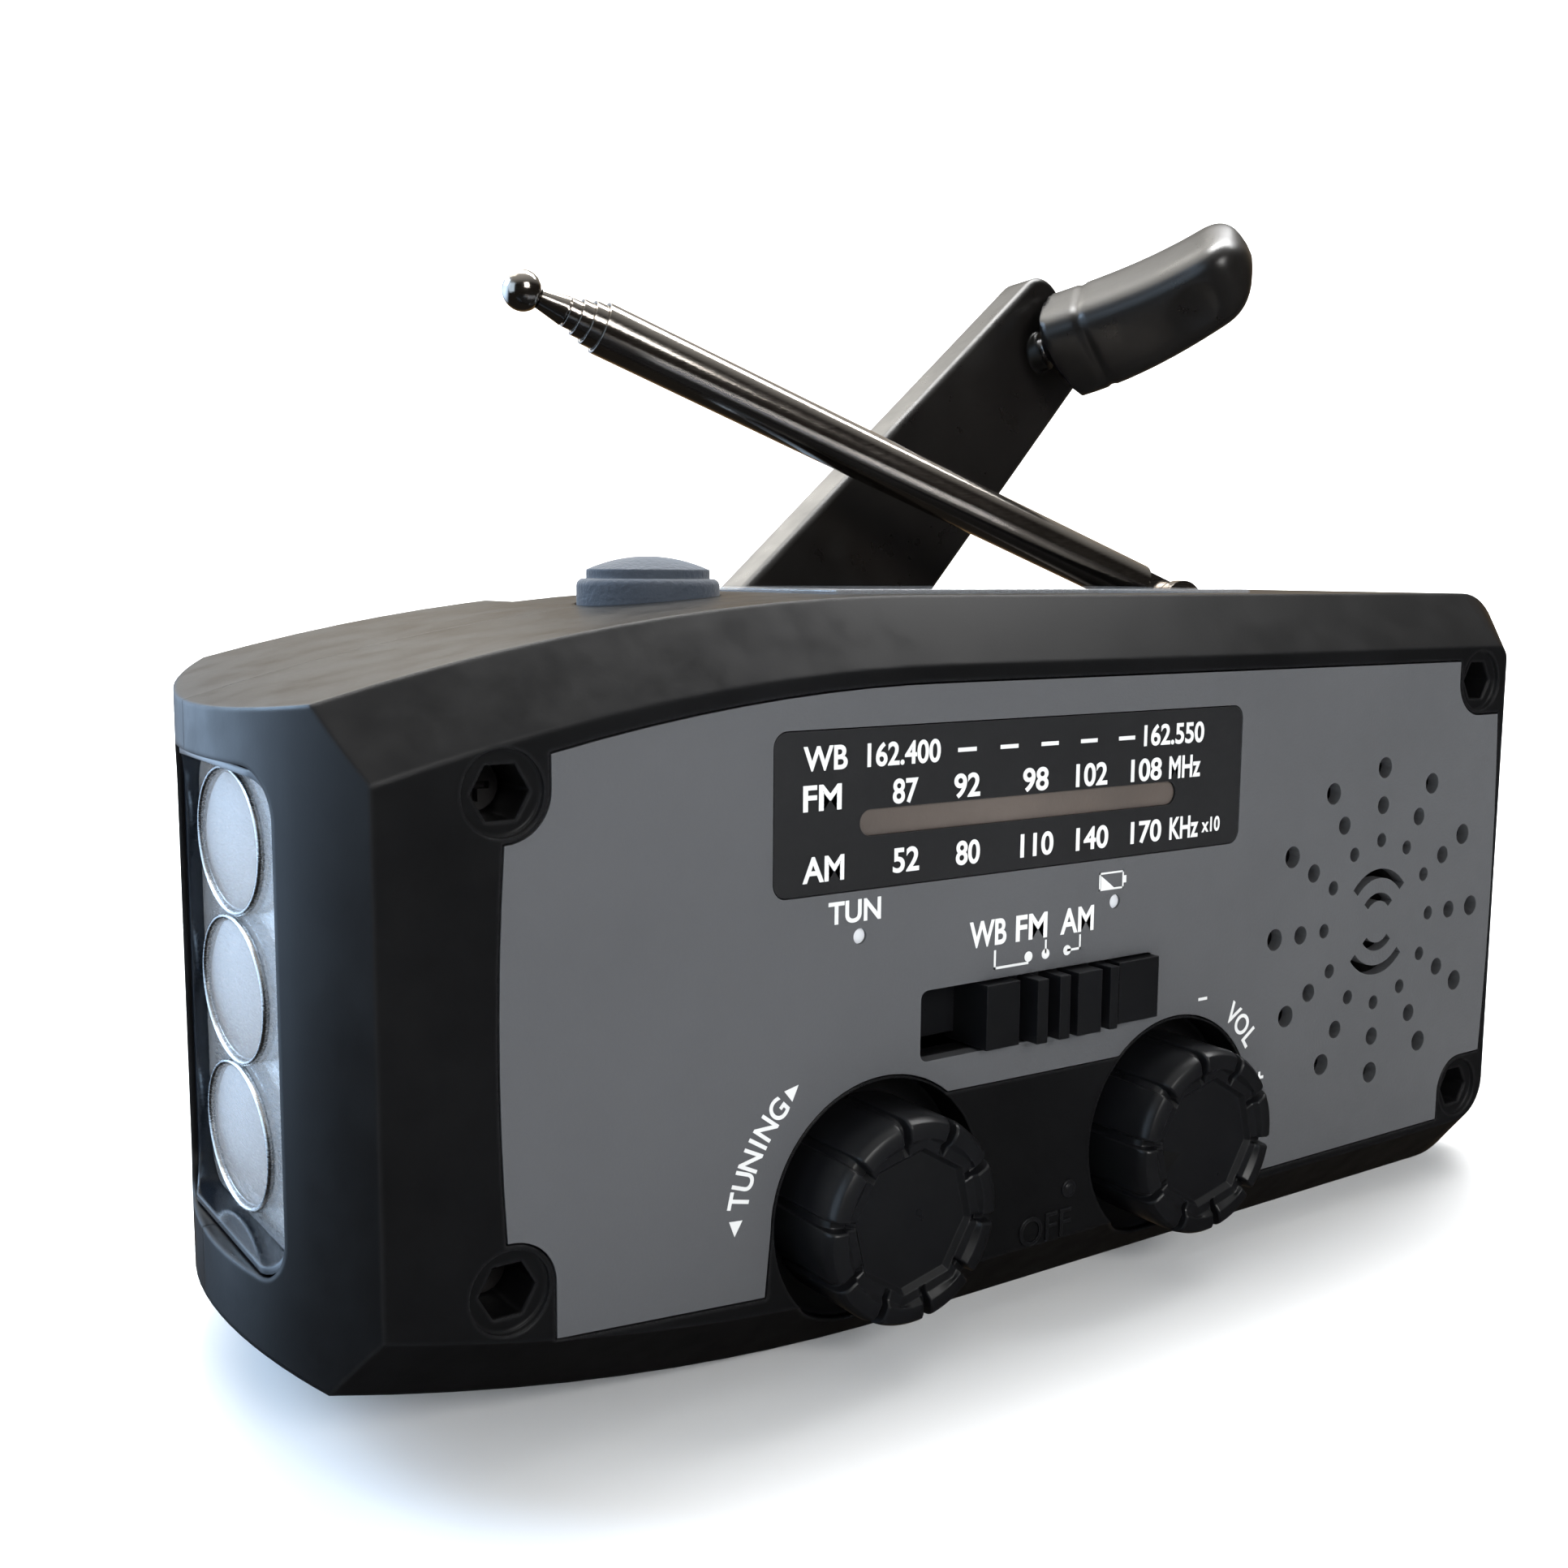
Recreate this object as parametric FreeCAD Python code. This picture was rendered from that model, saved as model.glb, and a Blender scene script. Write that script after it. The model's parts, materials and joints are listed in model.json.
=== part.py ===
import FreeCAD, Part
import math
import os

# Hand-crank emergency radio. Millimetres, +Z up, +X to the right of someone facing the front,
# front face towards -Y. The origin is the middle of the flat underside.

V = FreeCAD.Vector
X_AXIS = V(1, 0, 0)
Y_AXIS = V(0, 1, 0)
Z_AXIS = V(0, 0, 1)

# ---------------------------------------------------------------- case
HALF_DEPTH = 22.5
CASE_HEIGHT = 58.0
RIGHT_END = 64.3
STRAIGHT_FROM = -12.0       # left of this the top and underside curve together
END_CURVE_RADIUS = 177.0
OUTLINE_LEFT = -70.0        # the outline runs on past the rounded left end
TOP_CORNER = 6.5
LOWER_CORNER = 9.0
FRONT_CHAMFER_IN = 5.1
FRONT_CHAMFER_DEEP = 4.4
REAR_CHAMFER = 3.0
LEFT_END_RADIUS = 40.0
LEFT_END_X = -62.7
LEFT_END_Y = -3.0
WALL = 2.2
FRONT_WALL = 3.0
FRONT_Y = -HALF_DEPTH
INNER_FRONT_Y = FRONT_Y + FRONT_WALL
INNER_BACK_Y = HALF_DEPTH - WALL
MID_Z = CASE_HEIGHT / 2

# ---------------------------------------------------------------- front panel
PANEL_THICK = 1.2
PANEL_BACK_Y = FRONT_Y + PANEL_THICK
PANEL_GAP = 0.15
PANEL_LEFT = -49.4
PANEL_LEFT_ROUND = 130.0
PANEL_RIGHT = 58.8
PANEL_TOP = 51.5
PANEL_BOTTOM = 5.9
PANEL_LEFT_BOTTOM = 8.7
PANEL_CURVE_RADIUS = 171.0
PANEL_CORNER = 1.6
SCREW_SPOTS = [(-48.9, 45.7), (-48.9, 12.5), (55.1, 49.6), (55.1, 8.6)]
NOTCH_RADIUS = 3.4
KNOB_FLOOR_Y = FRONT_Y + 3.5
KNOB_FLOOR_THICK = 2.0
KNOB_RECESS = 9.8
KNOB_BOSS = 10.9
TUNING_SPOT = (-18.2, 12.0)
VOLUME_SPOT = (13.5, 12.0)
KNOB_RADIUS = 8.0
KNOB_PROUD = 4.8
KNOB_FLUTES = 10
OFF_ANGLE = 191.0           # where the volume knob points when it is off
SHAFT_RADIUS = 3.0

DIAL_LEFT = -28.3
DIAL_RIGHT = 20.65
DIAL_LOW = 36.5
DIAL_HIGH = 48.6
SLIT_LEFT = -20.6
SLIT_RIGHT = 12.6
SLIT_LOW = 40.5
SLIT_HIGH = 42.5
POINTER_X = -3.8
TUN_LIGHT = (-20.5, 33.1)
BATTERY_LIGHT = (5.8, 32.9)
LIGHT_RADIUS = 0.6

SLOT_LEFT = -14.6
SLOT_RIGHT = 10.5
SLOT_LOW = 22.5
SLOT_HIGH = 28.1
SLIDER_LENGTH = 19.0

SPEAKER_SPOT = (40.8, 27.2)
SPEAKER_RAYS = 12
SPEAKER_HOLES = [(14.7, 1.0), (11.14, 0.85), (7.83, 0.68)]
CRESCENTS = [(5.1, 0.9), (2.8, 0.8)]
SPEAKER_OPENING = 16.3

# ---------------------------------------------------------------- torch
TORCH_Y = -2.8
TORCH_Z = 29.8
TORCH_HALF_WIDE = 11.4
TORCH_HALF_HIGH = 17.3
CUP_RADIUS = 5.4
CUP_PITCH = 11.2
LENS_X = -59.6

# ---------------------------------------------------------------- top
BUTTON_X = -25.5
BUTTON_RADIUS = 5.8
SOLAR_LEFT = -15.0
SOLAR_RIGHT = 34.0
SOLAR_FRONT = -11.5
SOLAR_BACK = 9.0

# ---------------------------------------------------------------- side cover and sockets
PORT_Y = 8.0
USB_Z = 30.0
CHARGE_Z = 20.0
FLAP = (-2.0, 18.4, 15.0, 36.0)     # y and z limits
FLAP_THICK = 1.5
FLAP_GAP = 0.3
FLAP_HINGE_X = RIGHT_END - FLAP_THICK / 2
FLAP_STUB = 0.4
FLAP_STUB_LENGTH = 1.2
HINGE_ROOM = 1.1

# ---------------------------------------------------------------- crank
CRANK_X = 3.3
CRANK_Z = 46.0
HINGE_Y = 30.0
CRANK_ANGLE = 38.6          # how far the arm points up from +X
ARM_TILT = 12.0             # how far the arm is swung out from the back
ARM_LENGTH = 76.0
ARM_HALF_ROOT = 9.9
ARM_HALF_TIP = 7.4
ARM_THICK = 5.0
ARM_START = 6.0
ARM_CORNER = 4.0
GRIP_AT = 67.0
GRIP_LEAN = 34.0            # how far the grip leans from -Y towards the arm's direction
GRIP_START = 1.0            # its root is a cone, so that it can turn close to the arm
GRIP_END = 27.5
GRIP_WIDE = 10.4
GRIP_DEEP = 13.0
GRIP_OFFSET = 1.0           # its middle lies this far outside its pin
GRIP_ROOT_RADIUS = 1.6
GRIP_CONE_END = 4.5
GRIP_CONE_RADIUS = 10.2
GRIP_PIN = 1.5
GRIP_PIN_END = 21.0
HUB_RADIUS = 10.0
HUB_BACK_Y = 26.0
HUB_FRONT_Y = HALF_DEPTH + 0.5
CRANK_SHAFT = 3.5
BUSH_RADIUS = 5.5

GEAR_MODULE = 0.6
CRANK_TEETH = 24
IDLER_SMALL = 12
IDLER_LARGE = 28
ROTOR_TEETH = 10
IDLER_DIRECTION = -60.0
ROTOR_DIRECTION = -100.0
GEAR_ONE_Y = 8.0
GEAR_TWO_Y = 4.0
GEAR_THICK = 2.6

# ---------------------------------------------------------------- antenna
PIVOT = V(54.0, 17.4, 56.35)
ANTENNA_LEAN = 11.8         # turned back from the line of the top edge
ANTENNA_RISE = 21.6         # raised from level
TUBE_RADII = [2.65, 2.27, 1.89, 1.51]
TUBE_WALL = 0.3
TUBE_ENDS = [73.6, 74.9, 76.1, 77.2]
TUBE_STARTS = [5.0, 9.0, 11.0, 13.0]
ROD_RADIUS = 1.12
ROD_START = 15.0
BALL_AT = 81.9
BALL_RADIUS = 2.0
GROOVE = (-31.0, 50.0, 13.8, 53.0)      # left, right, front and floor of the folding channel
POCKET = (47.5, 60.5, 10.5, 48.0)       # the same for its base

# ---------------------------------------------------------------- inside the case
BOARD_SCREWS = [(-41, 30), (-40, 9.5), (19, 30), (-2.4, 9.0)]
COLUMN_RADIUS = 3.8
FERRITE_Y = 6.0
FERRITE_Z = 38.0
FERRITE_RADIUS = 3.6

os.makedirs("parts", exist_ok=True)


# ---------------------------------------------------------------- helpers
def save(name, shape):
    """Write one sub-part."""
    shape.exportStep("parts/" + name + ".step")


def box(x0, x1, y0, y1, z0, z1):
    return Part.makeBox(x1 - x0, y1 - y0, z1 - z0, V(x0, y0, z0))


def rod_y(x, z, radius, y0, y1):
    """A cylinder along Y."""
    return Part.makeCylinder(radius, y1 - y0, V(x, y0, z), Y_AXIS)


def rod_z(x, y, radius, z0, z1):
    """A cylinder along Z."""
    return Part.makeCylinder(radius, z1 - z0, V(x, y, z0), Z_AXIS)


def rod_x(y, z, radius, x0, x1):
    """A cylinder along X."""
    return Part.makeCylinder(radius, x1 - x0, V(x0, y, z), X_AXIS)


def between(start, end, radius):
    """A cylinder from one point to another."""
    line = end - start
    return Part.makeCylinder(radius, line.Length, start, line)


def plate_xz(wire, y0, y1):
    """A plate whose outline lies in an XZ plane at y0."""
    return Part.Face(wire).extrude(V(0, y1 - y0, 0))


def rounded_xz(x0, x1, z0, z1, radius, y0, y1):
    """A rounded rectangle seen from the front, as a plate."""
    points = [
        (V(x0 + radius, y0, z0), V(x1 - radius, y0, z0), V(x1 - radius, y0, z0 + radius), -90),
        (V(x1, y0, z0 + radius), V(x1, y0, z1 - radius), V(x1 - radius, y0, z1 - radius), 0),
        (V(x1 - radius, y0, z1), V(x0 + radius, y0, z1), V(x0 + radius, y0, z1 - radius), 90),
        (V(x0, y0, z1 - radius), V(x0, y0, z0 + radius), V(x0 + radius, y0, z0 + radius), 180),
    ]
    edges = []
    for start, end, centre, turn in points:
        edges.append(Part.LineSegment(start, end).toShape())
        edges.append(arc_xz(centre, radius, turn, turn + 90))
    return plate_xz(Part.Wire(edges), y0, y1)


def polar_xz(centre, radius, angle):
    """The point at an angle from +X towards +Z."""
    turn = math.radians(angle)
    return centre + V(radius * math.cos(turn), 0, radius * math.sin(turn))


def arc_xz(centre, radius, first, last):
    middle = polar_xz(centre, radius, (first + last) / 2)
    return Part.Arc(polar_xz(centre, radius, first), middle, polar_xz(centre, radius, last)).toShape()


def rounded_yz(y0, y1, z0, z1, radius, x0, x1):
    """A rounded rectangle seen from the side, as a plate."""
    plate = rounded_xz(y0, y1, z0, z1, radius, -x1, -x0)
    plate.rotate(V(0, 0, 0), Z_AXIS, 90)
    return plate


def hexagon_y(x, z, across, y0, y1):
    """A hexagonal bar along Y."""
    centre = V(x, y0, z)
    corner = across / math.sqrt(3)
    points = [polar_xz(centre, corner, 60 * n) for n in range(7)]
    return plate_xz(Part.makePolygon(points), y0, y1)


def in_frame(shape, origin, along, across):
    """Move a shape from its own axes (X along, Y across) to a place in the radio."""
    normal = along.cross(across)
    matrix = FreeCAD.Matrix(
        along.x, across.x, normal.x, origin.x,
        along.y, across.y, normal.y, origin.y,
        along.z, across.z, normal.z, origin.z,
        0, 0, 0, 1,
    )
    placed = shape.copy()
    placed.Placement = FreeCAD.Placement(matrix).multiply(placed.Placement)
    return placed


# ---------------------------------------------------------------- case shape
def case_outline(inset, y):
    """The case seen from the front, drawn in by inset."""
    top = CASE_HEIGHT - inset
    right = RIGHT_END - inset
    left = OUTLINE_LEFT + inset
    upper = TOP_CORNER - inset
    lower = LOWER_CORNER - inset
    curve = END_CURVE_RADIUS - inset
    drop = curve - math.sqrt(curve ** 2 - (left - STRAIGHT_FROM) ** 2)
    half = (left + STRAIGHT_FROM) / 2
    half_drop = curve - math.sqrt(curve ** 2 - (half - STRAIGHT_FROM) ** 2)
    low_left = V(left, y, inset + drop)
    low_start = V(STRAIGHT_FROM, y, inset)
    high_start = V(STRAIGHT_FROM, y, top)
    high_left = V(left, y, top - drop)
    edges = [
        Part.Arc(low_left, V(half, y, inset + half_drop), low_start).toShape(),
        Part.LineSegment(low_start, V(right - lower, y, inset)).toShape(),
        arc_xz(V(right - lower, y, inset + lower), lower, -90, 0),
        Part.LineSegment(V(right, y, inset + lower), V(right, y, top - upper)).toShape(),
        arc_xz(V(right - upper, y, top - upper), upper, 0, 90),
        Part.LineSegment(V(right - upper, y, top), high_start).toShape(),
        Part.Arc(high_start, V(half, y, top - half_drop), high_left).toShape(),
        Part.LineSegment(high_left, low_left).toShape(),
    ]
    return Part.Wire(edges)


def case_solid(wall):
    """The outside of the case, or with a wall the space inside it."""
    slope = math.hypot(FRONT_CHAMFER_IN, FRONT_CHAMFER_DEEP)
    front_in = FRONT_CHAMFER_IN + wall * (slope - FRONT_CHAMFER_IN) / FRONT_CHAMFER_DEEP
    shoulder = FRONT_Y + FRONT_CHAMFER_DEEP + wall * (slope - FRONT_CHAMFER_DEEP) / FRONT_CHAMFER_IN
    rear_in = REAR_CHAMFER + wall * (math.sqrt(2) - 1)
    rear_shoulder = HALF_DEPTH - REAR_CHAMFER - wall * (math.sqrt(2) - 1)
    front = Part.makeLoft(
        [case_outline(front_in, FRONT_Y + wall), case_outline(wall, shoulder)], True, True
    )
    middle = plate_xz(case_outline(wall, shoulder), shoulder, rear_shoulder)
    rear = Part.makeLoft(
        [case_outline(wall, rear_shoulder), case_outline(rear_in, HALF_DEPTH - wall)], True, True
    )
    solid = front.fuse([middle, rear]).removeSplitter()
    axis_x = LEFT_END_X + LEFT_END_RADIUS
    round_end = rod_z(axis_x, LEFT_END_Y, LEFT_END_RADIUS - wall, -20, 80)
    beyond = box(-90, axis_x, -35, 30, -10, 70).cut(round_end)
    return solid.cut(beyond)


OUTER = case_solid(0)
INNER = case_solid(WALL).common(box(-90, 90, INNER_FRONT_Y, INNER_BACK_Y, -10, 70))
FRONT_HALF = box(-90, 90, -40, 0, -10, 70)
REAR_HALF = box(-90, 90, 0, 40, -10, 70)


def round_edges(shape, radius, chosen):
    """Round the edges that chosen accepts."""
    edges = [edge for edge in shape.Edges if chosen(edge)]
    return shape.makeFillet(radius, edges)


# ---------------------------------------------------------------- panel
def panel_outline(grow, y):
    """The grey plate's outline before its notches, grown by a gap on every side."""
    left = PANEL_LEFT - grow
    right = PANEL_RIGHT + grow
    top = PANEL_TOP + grow
    low = PANEL_BOTTOM - grow
    curve = PANEL_CURVE_RADIUS + grow
    reach = left - STRAIGHT_FROM
    drop = curve - math.sqrt(curve ** 2 - reach ** 2)
    half = STRAIGHT_FROM + reach / 2
    half_drop = curve - math.sqrt(curve ** 2 - (reach / 2) ** 2)
    high_left = V(left + 1, y, top - drop)
    low_left = V(left + 1, y, PANEL_LEFT_BOTTOM - grow)
    edges = [
        Part.LineSegment(V(STRAIGHT_FROM, y, top), V(right - 1, y, top)).toShape(),
        Part.Arc(V(right - 1, y, top), V(right, y, MID_Z), V(right - 1, y, low)).toShape(),
        Part.LineSegment(V(right - 1, y, low), V(STRAIGHT_FROM, y, low)).toShape(),
        Part.LineSegment(V(STRAIGHT_FROM, y, low), low_left).toShape(),
        Part.Arc(low_left, V(left, y, MID_Z + 1), high_left).toShape(),
        Part.Arc(high_left, V(half, y, top - half_drop), V(STRAIGHT_FROM, y, top)).toShape(),
    ]
    return Part.Wire(edges)


def knob_field(shrink, y0, y1):
    """The black area round the two knobs that the plate leaves free."""
    tx, tz = TUNING_SPOT
    vx, vz = VOLUME_SPOT
    reach = KNOB_RECESS + 0.3 - shrink
    field = rod_y(tx, tz, reach, y0, y1).fuse(rod_y(vx, vz, reach, y0, y1))
    corners = [
        V(tx - reach, y0, tz),
        V(tx - reach - 1.2 + shrink, y0, PANEL_BOTTOM - 6),
        V(vx + reach + 5.5 - shrink, y0, PANEL_BOTTOM - 6),
        V(vx + reach * 0.93, y0, vz - reach * 0.37),
        V(vx, y0, vz),
        V(vx - reach * 0.66, y0, vz + reach * 0.75),
        V(tx + reach * 0.64, y0, tz + reach * 0.77),
        V(tx, y0, tz),
        V(tx - reach, y0, tz),
    ]
    return field.fuse(plate_xz(Part.makePolygon(corners), y0, y1))


def panel_blank(grow, y0, y1):
    """The plate with its notches and knob field, or the pocket that it lies in."""
    blank = plate_xz(panel_outline(grow, y0), y0, y1)
    for x, z in SCREW_SPOTS:
        side = -1 if x < 0 else 1
        rise = 1 if z > MID_Z else -1
        blank = blank.cut(rod_y(x, z, NOTCH_RADIUS - grow, y0 - 1, y1 + 1))
        away_x = sorted((x, x + side * 9))
        away_z = sorted((z - rise * (NOTCH_RADIUS - grow), z + rise * 12))
        blank = blank.cut(box(away_x[0], away_x[1], y0 - 1, y1 + 1, away_z[0], away_z[1]))
        near_x = sorted((x - side * (NOTCH_RADIUS - grow), x + side * 9))
        far_z = sorted((z, z + rise * 12))
        blank = blank.cut(box(near_x[0], near_x[1], y0 - 1, y1 + 1, far_z[0], far_z[1]))
    return blank.cut(knob_field(grow, y0 - 1, y1 + 1))


def speaker_slots(y0, y1):
    """Rays of round holes and the two pairs of curved slots at their middle."""
    x, z = SPEAKER_SPOT
    cuts = []
    for ray in range(SPEAKER_RAYS):
        angle = 90 + ray * 360 / SPEAKER_RAYS
        for distance, radius in SPEAKER_HOLES:
            spot = polar_xz(V(x, y0, z), distance, angle)
            cuts.append(rod_y(spot.x, spot.z, radius, y0, y1))
    for distance, wide in CRESCENTS:
        ring = rod_y(x, z, distance, y0, y1).cut(rod_y(x, z, distance - wide, y0, y1))
        for rise in (1, -1):
            wedge = Part.makePolygon([
                V(x, y0, z),
                V(x + 7, y0, z + rise * 6.2),
                V(x, y0, z + rise * 14),
                V(x - 7, y0, z + rise * 6.2),
                V(x, y0, z),
            ])
            cuts.append(ring.common(plate_xz(wedge, y0, y1)))
    return cuts


def front_panel():
    plate = panel_blank(0, FRONT_Y, PANEL_BACK_Y)
    y0 = FRONT_Y - 1
    y1 = PANEL_BACK_Y + 1
    plate = plate.cut(rounded_xz(DIAL_LEFT, DIAL_RIGHT, DIAL_LOW, DIAL_HIGH, 1.2, y0, y1))
    plate = plate.cut(rounded_xz(SLOT_LEFT, SLOT_RIGHT, SLOT_LOW, SLOT_HIGH, 0.7, y0, y1))
    for x, z in (TUN_LIGHT, BATTERY_LIGHT):
        plate = plate.cut(rod_y(x, z, LIGHT_RADIUS, y0, y1))
    return plate.cut(speaker_slots(y0, y1))


# ---------------------------------------------------------------- shells
def screw_columns(radius, y0, y1):
    """One cylinder along Y at each case screw."""
    return [rod_y(x, z, radius, y0, y1) for x, z in SCREW_SPOTS]


def torch_opening(x0, x1):
    return rounded_yz(
        TORCH_Y - TORCH_HALF_WIDE, TORCH_Y + TORCH_HALF_WIDE,
        TORCH_Z - TORCH_HALF_HIGH, TORCH_Z + TORCH_HALF_HIGH, 3.5, x0, x1,
    )


def port_recess():
    """The cover's seat, with room behind its hinge, and the holes for the hinge's stub ends."""
    y0, y1, z0, z1 = FLAP
    seat = box(
        RIGHT_END - FLAP_THICK - 0.1, RIGHT_END + 5,
        y0 - FLAP_GAP, y1 + HINGE_ROOM, z0 - FLAP_GAP, z1 + FLAP_GAP,
    )
    reach = FLAP_STUB_LENGTH + 0.2
    stubs = rod_z(FLAP_HINGE_X, y1, FLAP_STUB + 0.08, z0 - reach, z1 + reach)
    return seat.fuse(stubs)


def top_openings():
    """The button's hole and the seat of the solar window."""
    button = rod_z(BUTTON_X, 0, BUTTON_RADIUS + 0.15, 50, 65)
    seat = box(SOLAR_LEFT, SOLAR_RIGHT, SOLAR_FRONT, SOLAR_BACK, CASE_HEIGHT - 1, 65)
    under = box(
        SOLAR_LEFT + 1.5, SOLAR_RIGHT - 1.5, SOLAR_FRONT + 1.5, SOLAR_BACK - 1.5,
        CASE_HEIGHT - 5, 65,
    )
    return [button, seat, under]


def front_shell():
    shell = OUTER.common(FRONT_HALF).cut(INNER)
    bosses = []
    for x, z in (TUNING_SPOT, VOLUME_SPOT):
        bosses.append(rod_y(x, z, KNOB_BOSS, FRONT_Y, KNOB_FLOOR_Y + KNOB_FLOOR_THICK))
    bosses.extend(screw_columns(COLUMN_RADIUS, INNER_FRONT_Y - 1, 0))
    shell = shell.fuse([boss.common(OUTER) for boss in bosses])
    cuts = [panel_blank(PANEL_GAP, FRONT_Y - 1, PANEL_BACK_Y)]
    for x, z in (TUNING_SPOT, VOLUME_SPOT):
        cuts.append(rod_y(x, z, KNOB_RECESS, FRONT_Y - 5, KNOB_FLOOR_Y))
        cuts.append(rod_y(x, z, SHAFT_RADIUS + 0.1, FRONT_Y, 0))
    for x, z in SCREW_SPOTS:
        cuts.append(rod_y(x, z, 2.9, FRONT_Y - 1, FRONT_Y + 0.5))
        cuts.append(hexagon_y(x, z, 3.6, FRONT_Y - 1, FRONT_Y + 6))
        cuts.append(rod_y(x, z, 1.3, FRONT_Y, 1))
    cuts.append(rod_y(SPEAKER_SPOT[0], SPEAKER_SPOT[1], SPEAKER_OPENING, FRONT_Y - 1, -18))
    cuts.append(box(DIAL_LEFT + 1.5, DIAL_RIGHT - 1.5, FRONT_Y, -18, DIAL_LOW + 1.2, DIAL_HIGH - 1.2))
    cuts.append(rounded_xz(SLOT_LEFT, SLOT_RIGHT, SLOT_LOW, SLOT_HIGH, 0.7, FRONT_Y, -18))
    for x, z in (TUN_LIGHT, BATTERY_LIGHT):
        cuts.append(rod_y(x, z, LIGHT_RADIUS, FRONT_Y, -18))
    cuts.append(torch_opening(-70, -52))
    cuts.append(port_recess())
    cuts.extend(top_openings())
    return shell.cut(cuts)


def antenna_groove(grow):
    """The channel along the rear top edge that the antenna folds into, and its base's pocket."""
    left, right, front, low = GROOVE
    channel = box(left - grow, right, front - grow, 30, low - grow, 70)
    left, right, front, low = POCKET
    pocket = box(left - grow, right + grow, front - grow, 30, low - grow, 70)
    return channel.fuse(pocket)


def rear_shell():
    shell = OUTER.common(REAR_HALF).cut(INNER)
    extra = [antenna_groove(2.0)]
    extra.append(rod_y(CRANK_X, CRANK_Z, BUSH_RADIUS + 1.8, 14, HALF_DEPTH))
    extra.extend(screw_columns(COLUMN_RADIUS, 0, INNER_BACK_Y + 1))
    extra = [piece.common(OUTER).common(REAR_HALF) for piece in extra]
    shell = shell.fuse(extra)
    cuts = [antenna_groove(0)]
    cuts.append(rod_y(CRANK_X, CRANK_Z, BUSH_RADIUS, 10, HALF_DEPTH + 1))
    cuts.extend(screw_columns(1.1, 0, 9))
    cuts.append(torch_opening(-70, -50))
    cuts.append(port_recess())
    for z, wide, high in ((USB_Z, 6.6, 3.0), (CHARGE_Z, 4.6, 1.7)):
        cuts.append(box(RIGHT_END - 4, RIGHT_END + 1, PORT_Y - wide, PORT_Y + wide, z - high, z + high))
    cuts.append(rod_z(PIVOT.x, PIVOT.y, 1.2, 44, 49))
    cuts.extend(top_openings())
    return shell.cut(cuts)


# ---------------------------------------------------------------- front fittings
def dial_window():
    gap = 0.1
    plate = rounded_xz(
        DIAL_LEFT + gap, DIAL_RIGHT - gap, DIAL_LOW + gap, DIAL_HIGH - gap, 1.1,
        FRONT_Y + 0.05, PANEL_BACK_Y,
    )
    slit = rounded_xz(SLIT_LEFT, SLIT_RIGHT, SLIT_LOW, SLIT_HIGH, 0.99, FRONT_Y - 1, PANEL_BACK_Y + 1)
    return plate.cut(slit)


def dial_lens():
    bar = rounded_xz(
        SLIT_LEFT, SLIT_RIGHT, SLIT_LOW, SLIT_HIGH, 0.99, FRONT_Y + 0.3, PANEL_BACK_Y
    )
    flange = box(
        SLIT_LEFT - 2, SLIT_RIGHT + 2, PANEL_BACK_Y, PANEL_BACK_Y + 0.5,
        SLIT_LOW - 1, SLIT_HIGH + 1,
    )
    return bar.fuse(flange)


def dial_pointer():
    needle = box(POINTER_X - 0.4, POINTER_X + 0.4, -20.3, -19.9, 39.4, 45.0)
    carriage = box(POINTER_X - 2, POINTER_X + 2, -19.9, -18.4, 38.4, 40.4)
    return needle.fuse(box(POINTER_X - 0.8, POINTER_X + 0.8, -20.3, -19.9, 38.4, 39.4)).fuse(carriage)


def dial_back():
    plate = box(DIAL_LEFT + 2, DIAL_RIGHT - 2, -17.0, -16.0, DIAL_LOW, DIAL_HIGH - 1)
    rail = box(DIAL_LEFT + 2, DIAL_RIGHT - 2, -18.3, -17.0, DIAL_LOW + 0.2, DIAL_LOW + 1.4)
    posts = []
    for x in (DIAL_LEFT + 4, DIAL_RIGHT - 4):
        posts.append(box(x - 1, x + 1, -16.0, -12.6, 41, 43))
    return plate.fuse([rail] + posts)


def knob(spot, pointed):
    """A knob with flutes round its side and steps cut in its front rim."""
    x, z = spot
    front = FRONT_Y - KNOB_PROUD
    back = KNOB_FLOOR_Y - 0.4
    body = rod_y(x, z, KNOB_RADIUS, front, back)
    body = round_edges(body, 0.8, lambda e: abs(e.BoundBox.YMax - front) < 0.01)
    cuts = []
    for number in range(KNOB_FLUTES):
        angle = 18 + number * 360 / KNOB_FLUTES
        spot_at = polar_xz(V(x, 0, z), KNOB_RADIUS + 0.9, angle)
        cuts.append(rod_y(spot_at.x, spot_at.z, 1.5, front - 1, back + 1))
    ring = rod_y(x, z, KNOB_RADIUS - 1.6, front - 1, front + 1.0)
    cuts.append(ring.cut(rod_y(x, z, KNOB_RADIUS - 2.8, front - 2, front + 2)))
    if pointed:
        centre = V(x, front - 1, z)
        notch = Part.makePolygon([
            polar_xz(centre, 3.4, OFF_ANGLE),
            polar_xz(centre, 6.4, OFF_ANGLE - 13),
            polar_xz(centre, 6.4, OFF_ANGLE + 13),
            polar_xz(centre, 3.4, OFF_ANGLE),
        ])
        cuts.append(plate_xz(notch, front - 1, front + 1.2))
    cuts.append(rod_y(x, z, SHAFT_RADIUS, front + 2.5, back + 1))
    return body.cut(cuts)


def knob_shaft(spot, back):
    x, z = spot
    return rod_y(x, z, SHAFT_RADIUS, FRONT_Y - KNOB_PROUD + 2.5, back)


def square_body(spot, half, y0, y1, hole):
    x, z = spot
    body = box(x - half, x + half, y0, y1, z - half, z + half)
    return body.cut(rod_y(x, z, hole, y0 - 1, y1 + 1))


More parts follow.
